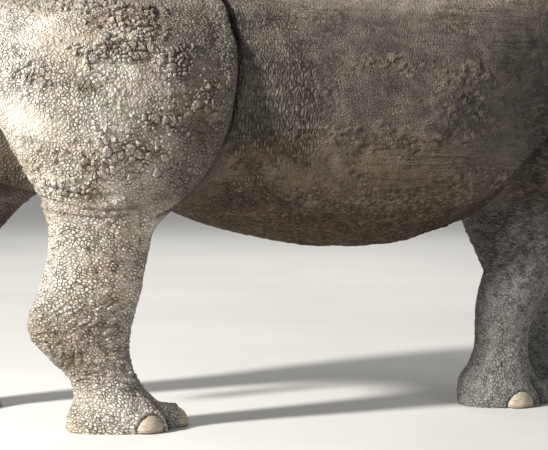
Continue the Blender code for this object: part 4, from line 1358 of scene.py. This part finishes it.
def ear_part(side, inner):
    root, along, facing, across = ear_axes(side)

    def takes(c, n, r):
        outward = ((c - root) @ facing + 0.01) * (n @ facing) + (c - root) @ across * (n @ across)
        return (r["ear"] > 0.5) & (c[:, 1] * side > 0) & ((outward < 0) == inner)

    def flat(p):
        return wrapped((p - root) @ across, (p - root) @ facing + 0.01, EAR_GIRTH, (p - root) @ along)

    return takes, flat


def parts_of_skin():
    """The parts that the skin is laid flat in. Later parts take faces from earlier ones.

    For each: which faces it takes, from their middles, facing and masks, and how its points are laid flat.
    """
    parts = []
    for side in SIDES.values():
        parts += [side_part(side), inner_part(side, -1.0, 0.7), inner_part(side, 1.2, 2.2)]
    parts.append((lambda c, n, r: (n[:, 0] < -0.75) & (c[:, 0] < -0.3), dropped(1, 2)))
    parts.append((
        lambda c, n, r: (n[:, 0] > 0.75) & (c[:, 0] > 1.6) & (c[:, 0] < 2.25) & (c[:, 2] < 1.1),
        dropped(1, 2),
    ))
    for limb in LEGS:
        parts += [leg_part(limb), sole_part(limb)]
    parts += [(lambda c, n, r: r["head"] > 0.5, round_head), head_end(1), head_end(-1)]
    parts += [ear_part(side, inner) for side in SIDES.values() for inner in (False, True)]
    parts.append((
        lambda c, n, r: r["tail"] > 0.5,
        lambda p: wrapped(p[:, 1], p[:, 0] - tail_middle(p[:, 2]), TAIL_GIRTH, p[:, 2]),
    ))
    return parts


def spread_out(mesh, places):
    """Gives each corner its place on the sheet."""
    mesh.uv_layers.new(name="OFBake").data.foreach_set("uv", places.astype(np.float32).ravel())


def unwrap(mesh, rest, facing, masks):
    """Lays the skin flat in its parts, side by side on a sheet. Gives each point's place on it."""
    corners = told(mesh.loops, "vertex_index")
    starts, sides = told(mesh.polygons, "loop_start"), told(mesh.polygons, "loop_total")
    owner = np.repeat(np.arange(len(sides)), sides)
    middles = np.stack([np.bincount(owner, rest[corners, k]) for k in range(3)], 1) / sides[:, None]
    first = corners[starts]
    at_faces = {name: values[first] for name, values in masks.items()}
    part = np.zeros(len(sides), int)
    parts = parts_of_skin()
    for number, (takes, _) in enumerate(parts):
        part[takes(middles, facing[first], at_faces)] = number
    pieces = []
    for number, (_, flat) in enumerate(parts):
        loops = np.flatnonzero(part[owner] == number)
        if not len(loops):
            continue
        a, b, turn = flat(rest[corners[loops]])
        if turn:
            middle = flat(middles[owner[loops]])[0]
            a = middle + (a - middle + turn / 2) % turn - turn / 2
        spots = np.stack([a - a.min(), b - b.min()], 1)
        pieces.append((loops, spots, *spots.max(0)))
    shelves, top = [], 0.0
    places = np.zeros((len(corners), 2))
    for loops, spots, wide, tall in sorted(pieces, key=lambda piece: -piece[3]):
        shelf = next((row for row in shelves if row[0] + wide <= SHELF), None)
        if shelf is None:
            shelf = [0.0, top]
            shelves.append(shelf)
            top += tall + MARGIN
        places[loops] = spots + shelf
        shelf[0] += wide + MARGIN
    places /= max(SHELF, top)
    spread_out(mesh, places)
    spots = np.zeros((len(mesh.vertices), 2))
    spots[corners] = places
    return spots


# ---------------------------------------------------------------- materials
MOUND = 0.012  # height of a cell whose mound has its full rise


class Wire:
    """What a node gives, to be reckoned with like a number."""

    def __init__(self, look, socket):
        self.look, self.socket = look, socket

    def __sub__(self, other):
        return self.look.calc("SUBTRACT", self, other)

    def __rsub__(self, other):
        return self.look.calc("SUBTRACT", other, self)

    def __mul__(self, other):
        return self.look.calc("MULTIPLY", self, other)

    def step(self, low, high, start=0.0, end=1.0):
        """Eased from start to end while this runs from low to high."""
        inputs = {"Value": self, "From Min": low, "From Max": high, "To Min": start, "To Max": end}
        return self.look.add("ShaderNodeMapRange", "Result", inputs, interpolation_type="SMOOTHSTEP")


class Look:
    """A procedural material, wired by short calls. Colours are given as on a screen, from 0 to 255."""

    def __init__(self, name):
        self.material = bpy.data.materials.new(name)
        self.material.use_nodes = True
        self.tree = self.material.node_tree
        self.shader = self.tree.nodes["Principled BSDF"]
        self.place = self.add("ShaderNodeTexCoord", "Object")

    def put(self, socket, value):
        if isinstance(value, Wire):
            self.tree.links.new(value.socket, socket)
        else:
            socket.default_value = value

    def add(self, kind, output, inputs=(), **settings):
        node = self.tree.nodes.new(kind)
        for key, value in settings.items():
            setattr(node, key, value)
        for key, value in dict(inputs).items():
            self.put(node.inputs[key], value)
        return Wire(self, node.outputs[output])

    def value(self, name, output="Fac"):
        """What is stored on the mesh under a name."""
        return self.add("ShaderNodeAttribute", output, attribute_name=name)

    def calc(self, operation, first, second=0.0):
        return self.add("ShaderNodeMath", 0, {0: first, 1: second}, operation=operation)

    def mix(self, share, first, second):
        first, second = (rgb(*colour) if isinstance(colour, tuple) else colour for colour in (first, second))
        inputs = {0: share, 6: first, 7: second}
        return self.add("ShaderNodeMix", 2, inputs, data_type="RGBA", blend_type="MIX")

    def coats(self, colour, *coats):
        """A colour with others laid over it in turn, each by its own share."""
        for share, coat in coats:
            colour = self.mix(share, colour, coat)
        return colour

    def mapped(self, where, **settings):
        return self.add("ShaderNodeMapping", "Vector", {"Vector": where, **settings})

    def noise(self, scale, detail, rough, where=None):
        inputs = {"Vector": where or self.place, "Scale": scale, "Detail": detail, "Roughness": rough}
        return self.add("ShaderNodeTexNoise", 0, inputs)

    def warped(self, scale, amount):
        """Object coordinates stirred a little, so that patterns run unevenly."""
        stir = self.add("ShaderNodeTexNoise", "Color", {"Vector": self.place, "Scale": scale, "Detail": 2.0})
        inputs = {0: stir, 1: (amount,) * 3, 2: self.place}
        return self.add("ShaderNodeVectorMath", "Vector", inputs, operation="MULTIPLY_ADD")

    def bumps(self, *layers):
        """The surface raised by layers: for each its height, the distance it stands for, its strength."""
        under = {}
        for height, distance, strength in layers:
            inputs = {"Height": height, "Distance": distance, "Strength": strength, **under}
            under = {"Normal": self.add("ShaderNodeBump", "Normal", inputs)}
        return under["Normal"]

    def finish(self, colour, roughness, normal, **constants):
        inputs = {"Base Color": colour, "Roughness": roughness, "Normal": normal, **constants}
        for key, value in inputs.items():
            self.put(self.shader.inputs[key.replace("_", " ")], value)
        return self.material


def rgb(*screen):
    """A colour given as it looks on a screen, from 0 to 255."""
    shares = [c / 255 for c in screen]
    return (*(c / 12.92 if c <= 0.04045 else ((c + 0.055) / 1.055) ** 2.4 for c in shares), 1.0)


def hide_colour(look, broad, middle, fine, dusty):
    """The hide from its grey ground to dust, mud, stains and cracks, with painted light on the forelegs and,
    with the dust, on the lit hind legs, and painted shade in the cracks, on the left haunch and in the folds.
    """
    mask = look.value
    grey = look.coats(
        (97, 89, 82),
        (broad.step(0.38, 0.62), (119, 110, 100)),
        (middle.step(0.45, 0.70, 0.0, 0.7), (146, 132, 117)),
        # painted light: the forelegs are lightened for the light that they catch
        (mask("fore_leg") * 0.9, (180, 177, 172)),
        (mask("low") * broad.step(0.35, 0.6, 0.30, 0.65), (140, 123, 101)),
        # painted shade, dark brown, on the left hind leg and the inner side of the right haunch
        (mask("wet") * 0.85, (72, 60, 48)),
        (mask("head") * 0.4, (132, 126, 120)),
    )
    return look.coats(
        grey,
        # pale dust, partly painted light where the key light falls: the hind legs, the thighs' rear, the back
        # and the tail
        (dusty, look.mix(broad.step(0.42, 0.58), (228, 219, 204), (208, 192, 171))),
        (mask("belly") * middle.step(0.3, 0.6, 0.45, 0.9), (110, 89, 63)),
        (mask("mud") * fine.step(0.3, 0.6, 0.55, 1.0), look.mix(dusty, (138, 126, 110), (196, 186, 172))),
        (mask("stain") * fine.step(0.34, 0.62, 0.4, 1.0), (112, 94, 74)),
        (look.noise(160.0, 3.0, 0.6).step(0.56, 0.70, 0.0, 0.45), (72, 64, 57)),
        # dark cracks, partly painted shade in them and between the lumps of mud
        (mask("crack") * 0.80, look.mix(dusty, (44, 39, 35), (74, 65, 57))),
        # painted shade in folds, creases, clefts, pits and round the eyes and nails
        (mask("fold") * 0.88, (32, 28, 24)),
    )


def scratched(look, broad):
    """Thin lines along the flank."""
    stretched = look.mapped(look.place, Scale=(2.2, 2.2, 46.0), Rotation=(0, 0.04, 0))
    lines = look.calc("ABSOLUTE", look.noise(1.0, 3.0, 0.5, stretched) - 0.5)
    return (1.0 - lines.step(0.0, 0.030)) * (look.value("flank") * broad.step(0.45, 0.60))


def crack_nets(look):
    """The nets of cracks in the hide, and the mounds between them. Gives cracks, whose darkening is partly
    painted shade, and relief.
    """
    mask = look.value
    swirl = look.warped(16.0, 0.022)
    patchy = look.noise(5.0, 3.0, 0.5).step(0.34, 0.60, 0.25, 1.0)
    coarse = look.calc("MAXIMUM", look.calc("MAXIMUM", mask("thigh"), mask("hind_leg")), mask("upright"))
    legs = look.calc("MAXIMUM", mask("hind_leg"), mask("fore_leg"))
    calm = mask("head").step(0.0, 1.0, 1.0, 0.42) * mask("even").step(0.0, 1.0, 1.0, 0.0)
    calm = calm * mask("belly").step(0.2, 0.8, 1.0, 0.3)
    nets = (  # sizes of a cell along the three axes, tilt, how wide a crack is, where the net lies
        (0.0135, 0.0135, 0.0125, 0.0, 0.11, mask("thigh") * patchy),
        (0.0150, 0.0150, 0.0105, -0.36, 0.15, legs),
        (0.0170, 0.0170, 0.0135, 0.0, 0.18, mask("belly")),
        (0.0750, 0.0750, 0.0125, -0.38, 0.14, mask("creased")),
        (0.0110, 0.0110, 0.0420, 0.0, 0.11, mask("upright") * patchy),
        (0.0085, 0.0085, 0.0085, 0.0, 0.11, coarse.step(0.0, 1.0, 0.85, 0.0) * calm),
    )
    relief, cracks = 0.0, 0.0
    for *sizes, tilt, width, where in nets:
        turned = look.mapped(swirl, Rotation=(0, tilt, 0))
        cell = {"Vector": look.mapped(turned, Scale=tuple(1 / size for size in sizes)), "Scale": 1.0}
        away = look.add("ShaderNodeTexVoronoi", "Distance", cell, feature="DISTANCE_TO_EDGE")
        cracks = look.calc("MAXIMUM", cracks, (1.0 - away.step(0.02, width)) * where)
        relief = look.calc("ADD", relief, away.step(0.0, 0.30) * (where * (sizes[2] / MOUND)))
    return cracks * mask("mud").step(0.1, 0.5, 1.0, 0.3), relief


def hide_look():
    look = Look("hide")
    broad, middle, fine = look.noise(2.3, 5.0, 0.6), look.noise(11.0, 6.0, 0.62), look.noise(70.0, 5.0, 0.6)
    # dust, partly painted light
    dusty = look.value("dust") * middle.step(0.30, 0.62, 0.60, 1.0)
    scratches = scratched(look, broad)
    cracks, relief = crack_nets(look)
    # the nets' cracks darkened, partly as painted shade, less on the forelegs
    shade = cracks * look.noise(34.0, 3.0, 0.5).step(0.36, 0.62, 0.35, 0.95)
    crack_shade_colour = look.mix(look.value("fore_leg"), (44, 39, 35), (76, 72, 68))
    colour = look.coats(
        hide_colour(look, broad, middle, fine, dusty),
        (scratches * 0.45, (56, 50, 45)),
        (shade, look.mix(dusty, crack_shade_colour, (60, 52, 45))),
    )
    normal = look.bumps(
        (relief, 0.0056, 1.0), (scratches * -1.0, 0.0020, 0.8), (look.noise(260.0, 4.0, 0.65), 0.0012, 0.7)
    )
    return look.finish(colour, middle.step(0.3, 0.7, 0.78, 0.92), normal, Specular_IOR_Level=0.28)


def horn_look():
    look = Look("horn")
    along = look.value("along")
    fibres = look.noise(1.0, 5.0, 0.6, look.value("grain", "Vector"))
    colour = look.coats(
        (84, 76, 68),
        (fibres.step(0.30, 0.70), (150, 138, 122)),
        (look.noise(14.0, 4.0, 0.6).step(0.50, 0.75, 0.0, 0.5), (116, 98, 78)),
        (along.step(0.45, 1.0, 0.0, 0.62), (58, 52, 47)),
        (along.step(0.16, 0.0, 0.0, 0.5), (150, 134, 114)),
    )
    normal = look.bumps((fibres, 0.0030, 0.8), (look.noise(180.0, 4.0, 0.6), 0.0008, 0.6))
    return look.finish(colour, along.step(0.2, 1.0, 0.72, 0.42), normal, Specular_IOR_Level=0.40)


def nail_look():
    look = Look("nail")
    bands = look.noise(1.0, 4.0, 0.6, look.value("grain", "Vector"))
    broad = look.noise(26.0, 4.0, 0.6)
    colour = look.coats(
        (150, 136, 120),
        (bands.step(0.32, 0.68), (196, 182, 164)),
        (broad.step(0.48, 0.72, 0.0, 0.6), (204, 195, 182)),
        (look.value("along").step(0.22, 0.0, 0.0, 0.5), (108, 94, 80)),
    )
    normal = look.bumps((bands, 0.0016, 0.8), (look.noise(240.0, 3.0, 0.6), 0.0006, 0.6))
    return look.finish(colour, broad.step(0.3, 0.7, 0.50, 0.68), normal, Specular_IOR_Level=0.40)


def eye_look():
    look = Look("eye")
    gaze = look.value("gaze")
    iris = look.mix(look.noise(240.0, 4.0, 0.7).step(0.35, 0.65), (52, 32, 18), (86, 54, 30))
    colour = look.coats(
        (6, 5, 5),
        (gaze.step(0.26, 0.32), iris),
        (gaze.step(0.56, 0.66), (24, 17, 13)),
        (gaze.step(0.80, 0.92), (104, 82, 70)),
    )
    normal = look.bumps((look.noise(90.0, 2.0, 0.5), 0.0002, 0.3))
    return look.finish(colour, 0.07, normal, Specular_IOR_Level=0.5, Coat_Weight=0.6, Coat_Roughness=0.03)


def hair_look(name, dark, light):
    look = Look(name)
    tone = look.noise(34.0, 3.0, 0.6)
    colour = look.coats(
        dark, (tone.step(0.35, 0.65), light), (look.value("along").step(0.55, 1.0, 0.0, 0.4), light)
    )
    normal = look.bumps((look.noise(900.0, 2.0, 0.5), 0.0002, 0.5))
    return look.finish(colour, tone.step(0.3, 0.7, 0.52, 0.66), normal, Specular_IOR_Level=0.35)


def floor_look():
    look = Look("floor")
    colour = look.mix(look.noise(0.8, 4.0, 0.55).step(0.3, 0.7), (214, 212, 207), (221, 219, 214))
    normal = look.bumps((look.noise(60.0, 3.0, 0.6), 0.0006, 0.4))
    return look.finish(colour, 0.9, normal, Specular_IOR_Level=0.2)


# ---------------------------------------------------------------- from the lofts' frame to the row frame
LOW, HIGH = (np.array(corner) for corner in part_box("eye_right"))
MOVE = (LOW + HIGH) / 2 - eye_centre(SIDES["right"])


def put_on(name, mesh, material, nodes=()):
    """Moves a mesh into the row frame as a piece that rides on the model."""
    mesh.transform(Matrix.Translation(MOVE))
    mesh.name = name
    mesh.shade_smooth()
    mesh.materials.clear()
    mesh.materials.append(material)
    piece = linked(name, mesh)
    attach(piece, "root")
    if nodes:
        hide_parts(*nodes)


# ---------------------------------------------------------------- horns, nails and eyes
HORN_SIDES, HORN_ROWS = ((120, 170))
HORN_STEPS = 12  # turns that make up its curl


def horn_rows(name):
    """Sections from foot to tip: middle, heading, share of full width and share of the length."""
    along, _, _, length, curl = HORNS[name]
    middle = face_point(along, -HORN_ROOT)
    heading = unit(FACE_OUT + HORN_LEAN * FACE_ALONG)
    turn = np.array(Matrix.Rotation(-math.radians(curl) / HORN_STEPS, 3, "Y"))
    rows = [(*(middle - heading * 0.040), *heading, 0.78, 0.0)]
    for i in range(HORN_STEPS + 1):
        t = i / HORN_STEPS
        waist = 1 - 0.28 * math.sin(math.pi * min(1.0, t * 1.6)) * (1 - t)
        rows.append((*middle, *heading, max((1 - t) ** 0.62 * waist, HORN_TIP), t))
        middle = middle + heading * (length + HORN_ROOT) / HORN_STEPS
        heading = turn @ heading
    return eased(rows, HORN_ROWS)


def horn_mesh(name):
    """A horn of matted fibres: furrowed along its length, frayed at the foot, worn smooth at the tip."""
    _, long, wide, _, _ = HORNS[name]
    rows = horn_rows(name)
    angles = circle(HORN_SIDES)
    c, side = oval(angles, np.full(HORN_SIDES, 2.3))
    points, grain = [], []
    for row in rows:
        fore_aft = unit(np.cross(row[3:6], (0.0, 1.0, 0.0)))
        taper, t = row[6:]
        where = np.stack([np.cos(angles) * 9, np.sin(angles) * 9, np.full(HORN_SIDES, t * 5.0)], 1)
        furrow = noise(where, 301) * 0.6 + noise(where * (2.1, 2.1, 1.0), 302) * 0.4
        fray = math.exp(-(((t - 0.10) / 0.09) ** 2)) + 0.35
        depth = -0.0016 * (1 - t) - 0.0036 * np.abs(furrow) * fray * (1 - 0.7 * t)
        depth = np.maximum(depth, -0.4 * taper * wide)
        ring = row[:3] + np.outer(c * (long * taper + depth), fore_aft)
        ring[:, 1] += side * (wide * taper + depth)
        points.append(ring)
        grain.append(np.stack([np.cos(angles) * 26, np.sin(angles) * 26, np.full(HORN_SIDES, t * 14.0)], 1))
    last, tip = points[-1], points[-1].mean(0)
    points[-1] = tip + (last - tip) * 0.82
    points.append(tip + (last - tip) * 0.40 + rows[-1][3:6] * 0.0016)
    mesh = new_mesh(name, np.concatenate(points), ring_faces(len(points), HORN_SIDES))
    share = np.repeat([*rows[:, 7], rows[-1, 7]], HORN_SIDES)
    store(mesh, grain=np.concatenate([*grain, grain[-1]]), along=share)
    return mesh


def nail_mesh(limb, number, place_at, heading, half):
    """A toenail: a broad curved plate with growth ridges and a worn edge."""
    radii = (NAIL_DEPTH, half * NAIL_SHARE, NAIL_HEIGHT)
    middle = nail_middle(place_at, heading)
    made = ball("nail", middle, heading, radii, 72, 56)
    cut(made, Vector((0, 0, NAIL_FOOT)), Vector((0, 0, -1)), True)
    mesh = made.data
    bpy.data.objects.remove(made)
    p, n = coordinates(mesh), normals(mesh)
    local = p - middle
    aside = local @ np.cross((0, 0, 1), heading)
    bearing = np.arctan2(aside, local @ heading)
    height = (p[:, 2] - NAIL_FOOT) / (NAIL_HEIGHT + NAIL_RISE)
    seed = 400 + 7 * number + 31 * list(LEGS).index(limb)
    ridges = np.cos((height + 0.03 * noise(p / 0.02, seed)) * (2 * math.pi / 0.17))
    worn = noise(np.stack([bearing * 5, height * 2, height], 1), seed + 1)
    chips = smooth(worn, 0.25, 0.6) * (height < 0.25)
    depth = -0.0012 + 0.0007 * ridges - 0.0030 * chips * (1 - height / 0.25)
    depth *= smooth(p[:, 2], NAIL_FOOT, NAIL_FOOT + 0.002)
    place(mesh, p + n * depth[:, None])
    store(mesh, along=np.clip(height, 0, 1), grain=np.stack([bearing * 3, bearing * 0.5, height * 13], 1))
    return mesh


def eye_mesh(side):
    """An eyeball whose cornea stands a little proud, looking out and a little ahead."""
    made = ball("eyeball", Vector((0, 0, 0)), (1, 0, 0), (1, 1, 1), 72, 48)
    mesh = made.data
    bpy.data.objects.remove(made)
    heading = unit(coordinates(mesh))
    facing = heading @ unit(np.array((0.30, side * 0.94, 0.02)))
    off = np.where(facing > 0, np.sqrt(np.clip(1 - facing**2, 0, 1)), 1.0)
    radius = EYE_RADIUS - 0.0003 + 0.0011 * fades(off, 0.25, 0.62)
    place(mesh, eye_centre(side) + heading * radius[:, None])
    store(mesh, gaze=off)
    return mesh


# ---------------------------------------------------------------- hair
class Strands:
    """Solid tapering hairs gathered into one mesh."""

    def __init__(self, unwrapped, sides=4, rows=6):
        self.unwrapped, self.sides, self.rows = unwrapped, sides, rows
        self.points, self.share, self.spots, self.faces = [], [], [], []

    def grow(self, root, heading, droop, length, thick):
        """One hair from root that bends from heading towards droop."""
        spine, step = [np.array(root, float)], length / (self.rows - 1)
        aim = np.array(heading, float)
        for _ in range(self.rows - 1):
            aim = aim + np.array(droop) * (1.0 / self.rows)
            aim /= np.linalg.norm(aim)
            spine.append(spine[-1] + aim * step)
        across = np.cross(aim, (0.31, 0.17, 0.93))
        across /= np.linalg.norm(across)
        other = np.cross(aim, across)
        start = len(self.points)
        home = self.unwrapped(root)
        for row, middle in enumerate(spine):
            t = row / (self.rows - 1)
            half = thick / 2 * (1 - 0.85 * t)
            for angle in circle(self.sides):
                self.points.append(middle + (across * math.cos(angle) + other * math.sin(angle)) * half)
                self.share.append(t)
                self.spots.append(home + PATCH * (np.array((abs(angle / math.pi - 1), t)) - 0.5))
        self.faces += ring_faces(self.rows, self.sides, start)

    def mesh(self, name):
        made = new_mesh(name, self.points, self.faces)
        store(made, along=np.array(self.share))
        spread_out(made, np.array(self.spots)[told(made.loops, "vertex_index")])
        return made


def ear_fringe(side, dice, unwrapped):
    """Short stiff hairs along the rim of an ear, longest at its tip."""
    strands = Strands(unwrapped)
    root, along, facing, across = ear_axes(side)
    rows = eased(EAR, 200)
    for edge in (-1, 1):
        for _ in range(420):
            share = 0.26 + 0.74 * dice.random() ** 0.8
            i = np.searchsorted(rows[:, 0], share)
            _, wide, deep, behind = rows[min(i, len(rows) - 1)]
            a = edge * math.radians(dice.uniform(62, 86))
            spot = (
                root
                + along * share * EAR_LENGTH
                + facing * (math.cos(a) * deep * 0.9 - behind)
                + across * math.sin(a) * (wide - 0.004)
            )
            heading = across * edge * (1 - 0.6 * share) + along * (0.35 + 0.75 * share)
            heading = heading + facing * dice.uniform(-0.25, 0.55) + dice.normal(0, 0.22, 3)
            length = dice.uniform(0.008, 0.022) * (0.55 + 0.75 * share)
            strands.grow(spot, heading, along * 0.5 + dice.normal(0, 0.40, 3), length, 0.0010)
    return strands


def tail_tuft(dice, unwrapped):
    """Coarse bristles down both edges of the tail's end."""
    strands = Strands(unwrapped, 4, 7)
    rows = eased(TAIL, 300)
    for _ in range(520):
        share = 1 - dice.random() ** 1.3 * 0.42
        x, z, wide, deep = rows[min(int(share * 299), 299)]
        a = dice.choice((-1, 1)) * math.pi / 2 + dice.normal(0, 0.45)
        spot = np.array((x + math.cos(a) * deep * 0.85, math.sin(a) * wide * 0.85, z))
        heading = np.array((math.cos(a) * 0.5, math.sin(a) * 0.6, -0.75)) + dice.normal(0, 0.12, 3)
        length = dice.uniform(0.045, 0.105) * (0.5 + 0.7 * share)
        strands.grow(spot, heading, (0.0, 0.0, -1.1), length, 0.0016)
    return strands


def lashes(side, dice, unwrapped):
    """A sparse row of lashes over and under the eye."""
    strands = Strands(unwrapped, 4, 5)
    slit, up = slit_axes()
    out = np.array((0.0, side, 0.0))
    for upper, count in ((True, 30), (False, 12)):
        for turn in np.linspace(-0.85, 0.85, count) + dice.normal(0, 0.02, count):
            u = turn * LID_SPAN
            lift = math.sqrt(max(0.0, 1 - turn**2)) * LID_OPEN * (1.08 if upper else -0.92)
            lift += LID_BEND * (1 - u**2)
            heading = slit * u + up * lift + out * math.sqrt(max(0.05, 1 - u * u - lift * lift))
            heading /= np.linalg.norm(heading)
            aim = heading + up * (0.35 if upper else -0.5) + dice.normal(0, 0.06, 3)
            spot = eye_centre(side) + heading * (EYE_RADIUS + 0.0018)
            droop = (0.0, 0.0, -0.5 if upper else -0.1)
            strands.grow(spot, aim, droop, dice.uniform(0.006, 0.013) * (1 if upper else 0.6), 0.0006)
    return strands


# ---------------------------------------------------------------- everything put together
HEAD_START, FACE_START = 2.2, 2.5  # distances along, ahead of which the eyes and the mouth lie
EYE_REACHES = (0.055, 0.040)  # the skin is divided once more inside each of these distances from an eye
FLESH_NODES = ["trunk", "neck", "head", "lower_jaw", "tail", "ear_left", "ear_right"]
FLESH_NODES += [f"{part}_{limb}{level}" for limb in LEGS
                for part, level in (("leg", "_upper"), ("leg", "_lower"), ("foot", ""))]


def on_haunch(c):
    """Whether a place is on the right haunch and hind leg, or on the tail."""
    return c.x < 0.42 and c.y < -0.04 and c.z < 1.5


def on_mud(c):
    """Whether a place is among the lumps of mud on the right thigh."""
    return abs(c.x + 0.02) < 0.34 and c.y < -0.34 and 0.85 < c.z < 1.5


def near_mouth(c):
    """Whether a place is close to the mouth's line or a nostril."""
    if c.x < FACE_START:
        return False
    away = np.array(c) - CREST
    along, out = away @ FACE_ALONG, away @ FACE_OUT
    lip = np.interp(along, [q[0] for q in MOUTH[::-1]], [q[1] for q in MOUTH[::-1]])
    nose = math.hypot(along - NOSTRIL[0], out - NOSTRIL[1])
    return (along > 0.64 and abs(out - lip) < 0.022) or (nose < 0.06 and abs(c.y) > 0.07)


def build():
    hide = hide_look()
    bm = base_skin()
    divide(bm, on_haunch)
    divide(bm, on_mud)
    eyes = [Vector(eye_centre(side)) for side in SIDES.values()]
    for reach in EYE_REACHES:
        divide(bm, lambda c: c.x > HEAD_START and min((c - eye).length for eye in eyes) < reach)
    divide(bm, near_mouth)
    skin, unwrapped = sculpted(bm)
    put_on("skin", skin, hide, FLESH_NODES)

    horn = horn_look()
    for name in HORNS:
        put_on(name.replace("horn_", "") + "_horn", horn_mesh(name), horn, [name])
    nail = nail_look()
    for limb in LEGS:
        for number, (place_at, heading, half) in enumerate(toe_places(limb)):
            mesh = nail_mesh(limb, number, place_at, heading, half)
            put_on(f"toenail_{limb}_{number}", mesh, nail, [f"nail_{limb}_{number}"])
    eye = eye_look()
    dice = np.random.default_rng(11)
    fringe = hair_look("fringe_hair", (46, 38, 32), (104, 86, 66))
    tuft = hair_look("tuft_hair", (30, 26, 24), (72, 60, 50))
    for side_name, side in SIDES.items():
        put_on("eyeball_" + side_name, eye_mesh(side), eye, ["eye_" + side_name])
        for name, grown in (("ear_fringe_", ear_fringe), ("lashes_", lashes)):
            put_on(name + side_name, grown(side, dice, unwrapped).mesh(name), fringe)
    put_on("tail_tuft", tail_tuft(dice, unwrapped).mesh("tail_tuft"), tuft)


# ---------------------------------------------------------------- camera, lights and floor
# The photo's camera: where it stands and what it looks at, in the lofts' frame.
CAMERA = np.array((-2.63723, -8.10583, 1.34716))
LOOK_AT = np.array((0.48676, -0.46980, 0.69784))
LENS = 157.7  # on a 36 mm sensor
FLOOR = 20  # half the width of the floor


def aimed(name, data, place_at, aim):
    """An object at a place in the lofts' frame that points at another place."""
    made = linked(name, data)
    made.location = np.array(place_at) + MOVE
    made.rotation_euler = Vector(np.array(aim) - np.array(place_at)).to_track_quat("-Z", "Y").to_euler()
    return made


def camera():
    data = bpy.data.cameras.new("camera")
    data.lens, data.sensor_width, data.clip_end = LENS, 36.0, 100
    bpy.context.scene.camera = aimed("camera", data, CAMERA, LOOK_AT)


def softbox(name, place_at, aim, size, power, colour):
    data = bpy.data.lights.new(name, "AREA")
    data.shape, data.size, data.energy, data.color = "DISK", size, power, colour
    aimed(name, data, place_at, aim)


def studio():
    softbox("key", (-7.6, -1.5, 4.9), (0.2, -0.3, 0.7), 0.9, 1720, (1.0, 0.985, 0.955))
    softbox("fill", (3.5, -7.0, 3.5), (1.0, 0.0, 0.9), 4.0, 70, (0.93, 0.96, 1.0))
    softbox("back", (3.0, 6.0, 4.5), (1.0, 0.0, 1.0), 4.0, 160, (1.0, 0.98, 0.95))
    world = bpy.data.worlds.new("studio")
    world.use_nodes = True
    sky = world.node_tree.nodes["Background"].inputs
    sky["Color"].default_value = (0.80, 0.82, 0.85, 1.0)
    sky["Strength"].default_value = 0.33
    bpy.context.scene.world = world
    bpy.context.scene.view_settings.view_transform = "Standard"
    corners = [(-FLOOR, -FLOOR, 0), (FLOOR, -FLOOR, 0), (FLOOR, FLOOR, 0), (-FLOOR, FLOOR, 0)]
    floor = linked("floor", new_mesh("floor", corners, [(0, 1, 2, 3)]))
    floor.data.materials.append(floor_look())


camera()
build()
studio()
